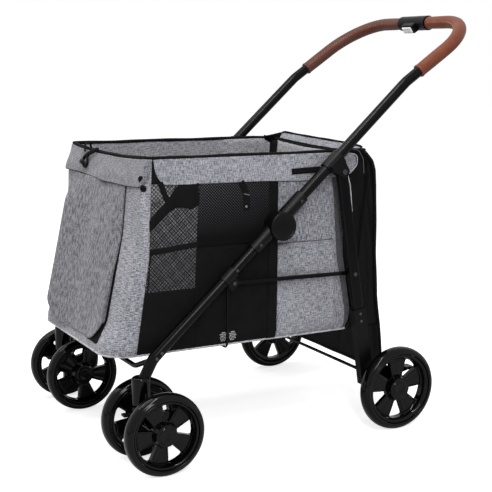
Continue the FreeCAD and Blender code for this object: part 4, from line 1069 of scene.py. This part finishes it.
def makeBase():
    # the underside: a closed outline drawn in toward its middle, slightly quilted
    z = np.full((1, 1), basket["bottom"] - 0.4)
    x, y = planRing(z, 0.4)
    share = np.linspace(1, 0, 24)[:, None]
    mid = (x.mean(), y.mean())
    xx, yy = mid[0] + (x - mid[0]) * share[:-1], mid[1] + (y - mid[1]) * share[:-1]
    rows = place(xx, yy, basket["bottom"] - 0.4 + 0.5 * ripple(xx / 40, yy / 50, 8) * (1 - share[:-1]))
    patches = [grid(rows, closedUv(again(xx), again(yy)), wrapV=True), fan(rows[-1], place(*mid, basket["bottom"]))]
    piece("basket_base", patches, blackFabric, "chassis", "basket_tub", thick=-1.0, merge=1e-6)
    # piping round the lower edge
    x, y = planRing(z, 0.0, 12, 60)
    ring = np.stack([x[0], y[0], np.full(x.shape[1], basket["bottom"] + 1.5)], -1)
    ring = evenly(np.vstack([ring, ring[:1]]), 500)[:-1]
    piece("base_piping", tube(ring, wall["hem"] * 0.001, 10, closed=True), lightWelt, "chassis")


makeBase()


def makeLining():
    # the inside face: one closed loop of cloth from the pad to the rim, open behind both windows
    inset, cornerSteps, sideSteps, low, gap = basket["lining"], 12, 30, 262.0, (396.0, 600.0)
    zRows = np.concatenate([np.linspace(low, gap[0], 10), np.linspace(*gap, 12)[1:],
                            np.linspace(gap[1], basket["rimZ"], 10)[1:]])
    x, y = planRing(zRows[:, None], inset, cornerSteps, sideSteps, split=-513.0)
    x = x - np.sign(x) * 4.5 * ramp(y, -215, -175) * np.clip((np.abs(x) - 200) / 38, 0, 1)
    z = zRows[:, None] + 0 * x
    z = low + (z - low) * (1 - rimSag(x, y) / (basket["rimZ"] - low))
    z = z - shoulderDrop(y, z) * ramp(np.abs(x), 190, 236)
    keep = np.ones((len(zRows) - 1, x.shape[1]), bool)
    openRows = (zRows[:-1] >= gap[0] - 1e-6) & (zRows[:-1] < gap[1] - 1e-6)
    second = cornerSteps + 3 * sideSteps
    for start in (0, second):
        keep[np.ix_(openRows, np.arange(start, start + cornerSteps))] = False
    steps = np.hypot(np.diff(x, append=x[:, :1]), np.diff(y, append=y[:, :1]))
    run = np.concatenate([np.zeros((len(zRows), 1)), np.cumsum(steps, 1)], 1)
    uv = closedUv(run, again(z))
    cloth = piece("basket_lining", [grid(place(x, y, z), uv, wrapV=True, keep=keep, flip=True)], greyLining,
                  "chassis", "basket_tub", thick=0.8)
    for side, label in bothSides:
        z, t = span(300, 690, 30, 0, 1, 8)
        tape = grid(place(side * (halfX(z) - 9.5 - 40 * t), rearY(z) - 4.6 - 1.2 * np.sin(math.pi * t), z),
                    np.stack([40 * t, z], -1) * 0.001, flip=side > 0)
        piece("lining_tape_" + label, [tape], blackTape, "chassis", thick=0.8)


makeLining()


rim = {"half": 238.0, "front": -641.0, "rear": -54.0, "frontR": 6.0, "rearR": 26.0, "z": 696.5, "bindingR": 0.0042}


def rimLine():
    # the rim's path: straight sides, a front and a rear that hang a little, round corners
    half, front, rear = rim["half"], rim["front"], rim["rear"]
    corners = [(0, rear, 0), (half, rear, 0), (half, front, 0), (-half, front, 0), (-half, rear, 0), (0, rear, 0)]
    path = evenly(roundedPath(corners, [rim["rearR"], rim["frontR"], rim["frontR"], rim["rearR"]], 1.5), 560)[:-1]
    path[:, 2] = (rim["z"] + 0.6 * np.sin(path[:, 1] / 37) + 0.4 * np.sin(path[:, 0] / 21)
                  - rimSag(path[:, 0], path[:, 1]))
    return path


path = rimLine()
uneven = rim["bindingR"] + 0.0003 * np.sin(np.arange(len(path)) / 5.0)
piece("rim_binding", tube(path, uneven, 14, closed=True), blackTape, "chassis", "basket_rim_wire")


valance = {"hem": ((-640, -596, -356, -302, -241, -160, -116), (637, 636, 634, 632, 629, 634, 639)),
           "frontEdge": -629.0, "frontRound": 33.0, "rearEdge": -89.0, "rearRound": 27.0, "top": 693.5}


def sideValance(side, label):
    # a flap hung from the rim: its front edge falls straight and turns in a large quarter round into the hem;
    # its rear end is free, droops a little and is rounded
    t, s = span(0, 1, 190, 0, 1, 34)
    y = valance["frontEdge"] + (valance["rearEdge"] - valance["frontEdge"]) * t
    bottom = np.interp(y, *valance["hem"])
    lead = np.clip((y - valance["frontEdge"]) / valance["frontRound"], 0, 1)
    rear = np.clip((y - valance["rearEdge"]) / valance["rearRound"] + 1, 0, 1)
    top = valance["top"] - 15.0 * rear ** 4 - 2.5 * ramp(y, -130, -100)
    bottom = bottom + (top - bottom) * (1 - (1 - (1 - lead) ** 2.0) ** 0.55) * (lead < 1)
    bottom = bottom + (top - bottom) * (1 - np.sqrt(np.maximum(1 - rear ** 2, 0)))
    z = top + (bottom - top) * s
    hang = 1.0 - ramp(z, 640, 688)
    under = bump(y, -172, 40)
    wave = ((1.4 + 1.0 * np.sin(y / 58 + 0.8) + 0.5 * np.sin(y / 23)) * hang * (1 - under)
            * (1 - 0.6 * ramp(y, -300, -240)))
    wrinkle = 0.5 * np.sin((y * 0.5 + (z - 660)) / 6.0) * bump(y, -560, 50) * hang
    x = 242.2 + wave - 0.6 * hang + wrinkle - 4.5 * ramp(y, -140, -89) ** 2 * (1 - hang)
    obj = piece("side_valance_" + label, [drape(side * x, y, z, z, y, flip=side > 0)],
                greyClothSoft, "chassis", "side_valances", thick=1.2)
    tab = ribbon([(-276, 652.5), (-236, 654), (-196, 655)], 14.0, 1, 3.4, side)
    strap = piece("valance_tab_" + label, [tab], blackTape, "chassis", thick=1.4)
    # a thin black cord peeking below the hem: painted shadow under the hanging hem
    hem = np.stack([x[4:-8, -1] - 0.9, y[4:-8, -1], z[4:-8, -1] - 0.3], -1) * (side, 1, 1)
    hemShadow = piece("valance_hem_" + label, tube(hem, 0.0010, 8, ref=(1, 0, 0.1)), blackTape, "chassis")


for side, label in bothSides:
    sideValance(side, label)


def snap(name, x, y, z, lean):
    # a round press stud facing forward, leaned toward +x by lean radians
    turn = circle(24)
    face = np.array([math.sin(lean), -math.cos(lean), 0.0])
    across = np.array([math.cos(lean), math.sin(lean), 0.0])
    rings = [(7.4, 0.0), (7.8, 1.3), (7.0, 2.4), (4.8, 3.0), (3.6, 2.5), (2.4, 2.9)]
    centre = np.array([x, y, z])
    around = np.cos(turn)[:, None] * across + np.sin(turn)[:, None] * np.array([0, 0, 1.0])
    rows = np.stack([place(*(centre + face * h + r * around).T) for r, h in rings])
    tip = centre + face * 2.9
    piece(name, [grid(rows, wrapV=True), fan(rows[-1], place(*tip))], glossPlastic, "chassis", slot="black_plastic")


def frontValance():
    # a flap hung from the rim round the front: it stands out by slow waves that grow toward its hem, plus slanting
    # wrinkles that fade at both edges
    t, s = span(-1, 1, 190, 0, 1, 34)
    x, y, p, a = frontWrap(t, 692.0 + 0 * s, 1.4, 4.0)
    # the hem, with a rounded lower corner at each end
    bottom = np.interp(p, (-247, -236, -140, 28, 164, 218, 230, 240, 247),
                       (632, 633, 633, 628, 629, 631, 634, 640, 650))
    top = valance["top"] - rimSag(x, y)
    z = top + (bottom - top) * s
    hang = 1 - ramp(z, 640, 688)
    x, y, p, a = frontWrap(t, np.minimum(z, 692), 1.4, 4.0 - 2.5 * hang)
    wave = 3.4 + 1.6 * np.sin(p / 47 + 0.5) + 0.8 * np.sin(p / 19)
    slantA, slantB = (p * 0.55 + (z - 650)) / 7.5, (p * 0.4 - (z - 650)) / 8.0
    wrinkle = (1.1 * np.sin(slantA + 0.7 * np.sin(p / 31)) * bump(p, 120, 100)
               + 0.9 * np.sin(slantB) * bump(p, -60, 90))
    flare = 2.5 * ramp(-p, 205, 250) * hang ** 2.5
    out = np.maximum(wave * hang, -0.6) + wrinkle * ramp(z, 630, 645) * (1 - ramp(z, 678, 692)) + flare
    x, y = x + np.sign(t) * np.sin(a) * out, y - np.cos(a) * out
    # the front valance takes the darker cloth, as painted shade on the front face
    obj = piece("front_valance", [drape(x, y, z, z, p)], valanceClothPaintedShade, "chassis", "front_valance", thick=1.2)
    # press studs on the rounded near corner, one on the valance and one on the wall below it
    snap("snap_valance", 233.4, -654.6, 651.0, 0.55)
    snap("snap_wall", 239.6, -652.2, 631.0, 0.75)
    # a strap loop hangs from the rim over the valance, and a short tab shows below the hem
    loop = np.array([(-50, 694), (-62, 690), (-87, 683), (-108, 675), (-119, 666), (-120, 658), (-108, 652),
                     (-92, 652), (-87, 659), (-92, 667), (-98, 675), (-92, 681)], float)
    yLoop = frontY(loop[:, 0], np.minimum(loop[:, 1], 692)) - 8.5 - 1.5 * np.sin(np.linspace(0, math.pi, len(loop)))
    spots = evenly(np.stack([loop[:, 0], yLoop, loop[:, 1]], -1), 70)
    spots[0, 1] += 8
    strands = tube(spots, 0.0028, 8, ref=(0, 1, 0), flatten=1.9)
    piece("rim_loop", strands, blackTape, "chassis")
    over = evenly(roundedPath([(-634, 686, 0), (-639, 704, 0), (-651, 704, 0), (-652, 684, 0)], [6, 6], 1.5), 24)
    over, xo = over[:, None], np.linspace(-129, -116, 4)[None]
    yo, zo = over[..., 0] + 0 * xo, over[..., 1] + 0 * xo
    piece("rim_strap", [drape(xo, yo, zo, xo, zo, flip=True)], blackTape, "chassis", thick=1.0)
    # the toggle that the loop holds
    t, a = np.meshgrid(np.linspace(0.02, math.pi - 0.02, 18), circle(24), indexing="ij")
    egg = place(-111 + 13 * np.cos(t), -664.5 + 5.5 * np.sin(t) * np.cos(a), 661 + 7.5 * np.sin(t) * np.sin(a))
    ends = [fan(egg[0], egg[0].mean(0), flip=True), fan(egg[-1], egg[-1].mean(0))]
    piece("rim_toggle", [grid(egg, wrapV=True)] + ends, blackPlastic, "chassis")
    zt, xt = span(636, 613, 8, -46, -20, 5)
    piece("front_tab", [drape(xt, frontY(xt, zt) - 2.2, zt, xt, zt)], blackTape, "chassis", thick=1.0)
    # a thin black cord peeking below the hem: painted shadow under the hanging hem
    hem = np.stack([x[1:-9, -1], y[1:-9, -1] + 1.2, z[1:-9, -1] - 0.4], -1)
    hemShadow = piece("front_valance_hem", tube(hem, 0.0011, 8, ref=(0, 0, 1)), blackTape, "chassis")


frontValance()

door = {"half": 152.0, "top": 630.0, "bottom": 275.0, "nearR": 50.0, "farR": 82.0, "farStand": 21.0, "nearStand": 6.0}


def doorPoint(t, s):
    # t across -1 to 1, s down 0 to 1; lower corners are rounded; the sides stand off, the far one most
    half = door["half"]
    z = door["top"] + (door["bottom"] - door["top"]) * s
    r = np.where(t > 0, door["nearR"], door["farR"])
    rise = np.minimum(r, 55.0)
    fall = np.clip(door["bottom"] + rise - z, 0, rise) / rise
    x = t * (half - r * (1 - np.sqrt(np.maximum(1 - fall ** 2, 0))))
    far = (door["farStand"] + bowAt(x, z)) * ramp(-x, 0, 150) * ramp(-z, -652, -560)
    far = far * (1 - 0.35 * ramp(-z, -320, -272))
    near = door["nearStand"] * ramp(x, 90, 152) * ramp(-z, -520, -340)
    ease = ramp(s, 0, 0.2)
    stand = (2.6 + far + near + (1.8 * ripple(x / 45, z / 90, 21)
                                 + 1.0 * np.sin(x / 15 + 0.6 * np.sin(z / 70)) * (1 - 0.7 * s)) * ease)
    return x, frontY(x, z) - np.maximum(stand, 1.2), z


s = np.concatenate([np.linspace(0, 0.86, 80), 0.86 + 0.14 * np.sin(np.linspace(0, math.pi / 2, 30))[1:]])
tt, ss = np.meshgrid(np.linspace(-1, 1, 80), np.minimum(s, 0.99995), indexing="ij")
x, y, z = doorPoint(tt, ss)
# the flap and its piping wear the darker door cloth, partly painted shade on the front face
flap = piece("door_flap", [drape(x, y, z, x * 0.35, z)], doorClothPaintedShade, "front_door", "front_door", thick=1.2)
edge = np.concatenate([np.stack([x[0], y[0], z[0]], -1), np.stack([x[1:-1, -1], y[1:-1, -1], z[1:-1, -1]], -1),
                       np.stack([x[-1, ::-1], y[-1, ::-1], z[-1, ::-1]], -1)])
edge = evenly(edge, 300)
piping = piece("door_piping", tube(edge, 0.0016, 8, ref=(0, 1, 0.2)), doorClothPaintedShade, "front_door")


def zipTapeAndShadow():
    # the dark zip tape on the wall, wider below where it stands for painted shadow in the gap behind the door's
    # lifted near edge: a narrow band along the door's near side and a square corner below it
    z = np.linspace(632, 312, 60)[:, None]
    x = np.interp(z, (271, 632), (152, 150)) + np.linspace(7.5, -1.2, 5) * (1 - 0.3 * ramp(z, 420, 560))
    patches = [drape(x, frontY(x, z) - 1.4, z, z, x - 152)]
    outline = evenly(roundedPath([(158, 322, 0), (158, 269, 0), (98, 270, 0)], [9], 2.0), 50)[:, None, :2]
    reach = np.linspace(0, 0.9, 8)[None, :, None]
    spots = outline + (np.array([126.0, 300.0]) - outline) * reach
    x, z = spots[..., 0], spots[..., 1]
    patches.append(drape(x, frontY(x, z) - 1.2, z, z, x - 152))
    piece("door_zip_tape_and_shadow", patches, blackTape, "chassis", thick=0.8)


zipTapeAndShadow()
print("valances and door made")


cover = {"half": 239.0, "hem": 133.0, "nearR": 46.0, "farR": 118.0, "bindingR": 0.0042,
         "edge": ((130, 184, 257, 330, 438, 522, 604, 646, 669, 689, 701),
                  (-2, -3, -11, -22, -29, -31, -34, -38, -45.5, -61, -79)),
         "top": ((-240, -200, -178, -99, -20, 112, 186, 240), (696, 712, 715, 712, 710, 707, 703, 698)),
         "topY": -41.0}


def coverEdge(z):
    # how far back the cover's side edge stands at height z
    return np.interp(z, *cover["edge"])


def coverBinding():
    # outline of the back panel: up one side, over two large lower corners; the top is left open
    half, low = 241.0, cover["hem"]
    corners = [(half, 700, 0), (half, low, 0), (-half, low, 0), (-half, 700, 0)]
    flat = evenly(roundedPath(corners, [cover["nearR"], cover["farR"]], 2.0), 460)
    x, z = flat[:, 0], flat[:, 1]
    return np.stack([x - np.sign(x) * 6 * ramp(z, 660, 700), coverEdge(z), z], -1)


path = coverBinding()
uneven = cover["bindingR"] + 0.0004 * np.sin(np.arange(len(path)) / 7.0)
bindingPiece = piece("cover_binding", tube(path, uneven, 12, ref=(0, 1, 0.05)), coverCloth, "rear_cover",
                     "cover_bow")


def makeCover():
    # the back panel hangs from the top line to a hem with large corners, in upright folds
    t, s = span(-1, 1, 140, 0, 1, 130)
    x = t * cover["half"]
    r = np.where(x > 0, cover["nearR"], cover["farR"])
    past = np.clip(np.abs(x) - (cover["half"] - r), 0, r)
    hem = cover["hem"] + r - np.sqrt(np.maximum(r ** 2 - past ** 2, 0))
    top = np.interp(x, *cover["top"])
    z = top + (hem - top) * s
    middle = 1 - ramp(np.abs(x), 190, 236)
    y = coverEdge(z) * (1 - middle) + middle * np.maximum(coverEdge(z), cover["topY"])
    folds = 2.6 * np.sin(x / 31 + 0.9 * np.sin(z / 120)) + 2.4 * ripple(x / 38, z / 150, 31)
    hold = ramp(z - hem, 0, 60) * (1 - ramp(z, 600, 680)) * (1 - ramp(np.abs(x), 215, 237))
    y = y - np.abs(folds) * hold - 1.0
    sheet = drape(x, y, z, x, z, flip=True)
    # side gussets run forward from the panel's edges to the basket's rear corners, in long upright folds
    gussets = []
    for sign in (1, -1):
        u, v = span(0, 1, 30, 0, 1, 120)
        z = 254 + (697 - 254) * v
        front = rearY(z) + 2.5 - 24 * ramp(z, 640, 697)
        y = front + (coverEdge(z) - 1.0 - front) * u
        depth = (3.0 * np.abs(np.sin((y + z * 0.10) / 6.5 + 1.2 * np.sin(z / 90))) * np.sin(math.pi * u)
                 * ramp(z, 254, 300))
        depth = depth + 3.0 * bump(z, 676, 14) * np.sin(math.pi * u)
        gussets.append(drape(sign * (cover["half"] + 1 - depth), y, z, y, z, flip=sign < 0))
    obj = piece("rear_cover_cloth", [sheet] + gussets, coverCloth, "rear_cover", "rear_cover", thick=1.0, merge=1e-4)
    # the grey top band, straight between a dark line above and one below
    t, s = span(-1, 1, 60, 0, 1, 8)
    x = t * 192.0
    high = np.interp(x, (-192, -178, -99, -20, 112, 186, 192), (712, 714, 711, 709, 706, 702, 700))
    low = np.interp(x, (-192, -82, -26, 97, 192), (696, 691, 689, 687, 683))
    z = low + (high - low) * s
    y = -52.0 + 10.5 * s
    piece("cover_band", [drape(x, y - 1.5, z, x, z)], greyClothCross, "rear_cover", thick=1.0)
    for name, k, r in (("cover_band_top", -1, 0.0028), ("cover_band_low", 0, 0.0019)):
        spots = np.stack([x[:, k], y[:, k] - 1.5, z[:, k]], -1)
        piece(name, tube(spots, r + 0.0003 * np.sin(np.arange(60) / 2.5), 8), blackTape, "rear_cover")
    # a paler seam curves over each rear shoulder, and stands also for a painted highlight along the fold there
    for sign, label in bothSides:
        seam = roundedPath([(240.6, -112, 701), (241.8, -86, 697), (242.4, -72, 676), (241.6, -68, 640)], [14, 20])
        seam[:, 0] *= sign
        piece("cover_seam_highlight_" + label, tube(seam, 0.0009, 6, ref=(1, 0, 0)), seamCordAndHighlight, "rear_cover",
              slot="black_fabric")


makeCover()
print("cover made")


padding = {"low": 260.0, "high": 274.0, "outlineZ": 277.0, "inset": 14.0, "voxel": 0.006, "pressure": 4.0,
           "frames": 20, "mostMove": 0.006, "floor": 0.2575, "ceiling": 0.281}


def makePad():
    # a thin quilted pad: a closed slab, remeshed and blown up a little so that it crowns
    low, high = padding["low"], padding["high"]
    x, y = planRing(np.full((1, 1), padding["outlineZ"]), padding["inset"], 10, 24)
    x, y = x[0], y[0]
    mid = (x.mean(), y.mean())
    rows = np.stack([place(x, y, z) for z in np.linspace(low, high, 4)])
    patches = [grid(rows, wrapV=True), fan(rows[0], place(*mid, low), flip=True), fan(rows[-1], place(*mid, high))]
    pad = piece("floor_pad_cloth", patches, padCloth, "chassis", "floor_pad", merge=1e-6)
    bpy.context.view_layer.objects.active = pad
    remesh = pad.modifiers.new("remesh", "REMESH")
    remesh.mode, remesh.voxel_size = "VOXEL", padding["voxel"]
    bpy.ops.object.modifier_apply(modifier=remesh.name)
    start = np.empty(len(pad.data.vertices) * 3, np.float32)
    pad.data.vertices.foreach_get("co", start)
    cloth = pad.modifiers.new("cloth", "CLOTH")
    cloth.settings.use_pressure = True
    cloth.settings.uniform_pressure_force = padding["pressure"]
    cloth.settings.effector_weights.gravity = 0
    for f in range(1, padding["frames"] + 1):
        scene.frame_set(f)
    bpy.ops.object.modifier_apply(modifier=cloth.name)
    scene.frame_set(1)
    end = np.empty_like(start)
    pad.data.vertices.foreach_get("co", end)
    move = (end - start).reshape(-1, 3)
    size = np.linalg.norm(move, axis=1, keepdims=True)
    move *= np.minimum(1, padding["mostMove"] / np.maximum(size, 1e-9))
    done = start.reshape(-1, 3) + move
    done[:, 2] = np.clip(done[:, 2], padding["floor"], padding["ceiling"])
    pad.data.vertices.foreach_set("co", done.ravel())
    pad.data.polygons.foreach_set("use_smooth", np.ones(len(pad.data.polygons), bool))


makePad()
print("pad made")


camera = bpy.data.objects.new("camera", bpy.data.cameras.new("camera"))
scene.collection.objects.link(camera)
scene.camera = camera
view = {"azimuth": 61.163, "elevation": 9.891, "roll": 0.4726, "lens": 77.98, "spot": (2.38016, -1.34309, 0.90990)}
az, el, roll = (math.radians(view[k]) for k in ("azimuth", "elevation", "roll"))
back = Vector((math.sin(az) * math.cos(el), -math.cos(az) * math.cos(el), math.sin(el)))
rightward = (-back).cross(Vector((0, 0, 1))).normalized()
upward = rightward.cross(-back)
rightward, upward = (rightward * math.cos(roll) + upward * math.sin(roll),
                     upward * math.cos(roll) - rightward * math.sin(roll))
camera.matrix_world = Matrix.Translation(view["spot"]) @ Matrix((rightward, upward, back)).transposed().to_4x4()
camera.data.lens, camera.data.sensor_width = view["lens"], 36.0


def lamp(name, spot, aim, size, power):
    data = bpy.data.lights.new(name, "AREA")
    data.shape, data.size, data.size_y, data.energy = "RECTANGLE", size[0], size[1], power
    obj = bpy.data.objects.new(name, data)
    obj.location = spot
    obj.rotation_euler = (Vector(aim) - Vector(spot)).to_track_quat("-Z", "Y").to_euler()
    scene.collection.objects.link(obj)


# each lamp's place, the spot it faces, its width and length, and its power
lamps = {"keyLamp": ((2.5, -0.9, 1.9), (0, -0.1, 0.45), (0.8, 0.8), 29),
         "sideStrip": ((1.1, -0.6, 2.5), (0.15, -0.3, 0.3), (0.14, 1.9), 34),
         "topStrip": ((-0.2, -0.8, 2.7), (-0.2, 0.2, 0.3), (0.4, 2.2), 16),
         "edgeStrip": ((-1.2, -1.1, 2.2), (-1.2, 0.0, 0.4), (0.3, 1.6), 14)}
for name, values in lamps.items():
    lamp(name, *values)

# the room is white where it is seen or mirrored, and dimmer as a light
room = {"light": 0.38, "seen": 1.0, "floorHalf": 14, "paper": 0.86, "paperRough": 0.9, "paperGlow": 0.72}
world = bpy.data.worlds.new("studio")
scene.world = world
world.use_nodes = True
tree = world.node_tree
seen = tree.nodes.new("ShaderNodeLightPath")
rayKinds = ("Is Camera Ray", "Is Glossy Ray", "Is Transmission Ray")
direct, glossy, through = [Signal(tree, seen.outputs[label]) for label in rayKinds]
most = calc(tree, "MAXIMUM", direct, calc(tree, "MAXIMUM", glossy, through))
sky = tree.nodes["Background"]
sky.inputs["Color"].default_value = (1, 1, 1, 1)
feed(tree, most * (room["seen"] - room["light"]) + room["light"], sky.inputs["Strength"])

reach = room["floorHalf"]
floorMesh = grid(np.stack(span(-reach, reach, 3, -reach, reach, 3) + [np.zeros((3, 3))], -1))
floorObject = bpy.data.objects.new("floor", bpy.data.meshes.new("floor"))
floorObject.data.from_pydata(floorMesh["points"].tolist(), [], floorMesh["faces"][0][0].tolist())
scene.collection.objects.link(floorObject)
paper = bpy.data.materials.new("floorPaper")
paper.use_nodes = True
tree = paper.node_tree
matt = tree.nodes["Principled BSDF"]
matt.inputs["Base Color"].default_value = (room["paper"],) * 3 + (1,)
matt.inputs["Roughness"].default_value = room["paperRough"]
matt.inputs["Specular IOR Level"].default_value = 0.0
straight = Signal(tree, tree.nodes.new("ShaderNodeLightPath").outputs["Is Camera Ray"])
glow = tree.nodes.new("ShaderNodeEmission")
glow.inputs["Color"].default_value = (1, 1, 1, 1)
feed(tree, straight * room["paperGlow"], glow.inputs["Strength"])
both = tree.nodes.new("ShaderNodeAddShader")
tree.links.new(matt.outputs[0], both.inputs[0])
tree.links.new(glow.outputs[0], both.inputs[1])
tree.links.new(both.outputs[0], tree.nodes["Material Output"].inputs["Surface"])
floorObject.data.materials.append(paper)
print("stage made")
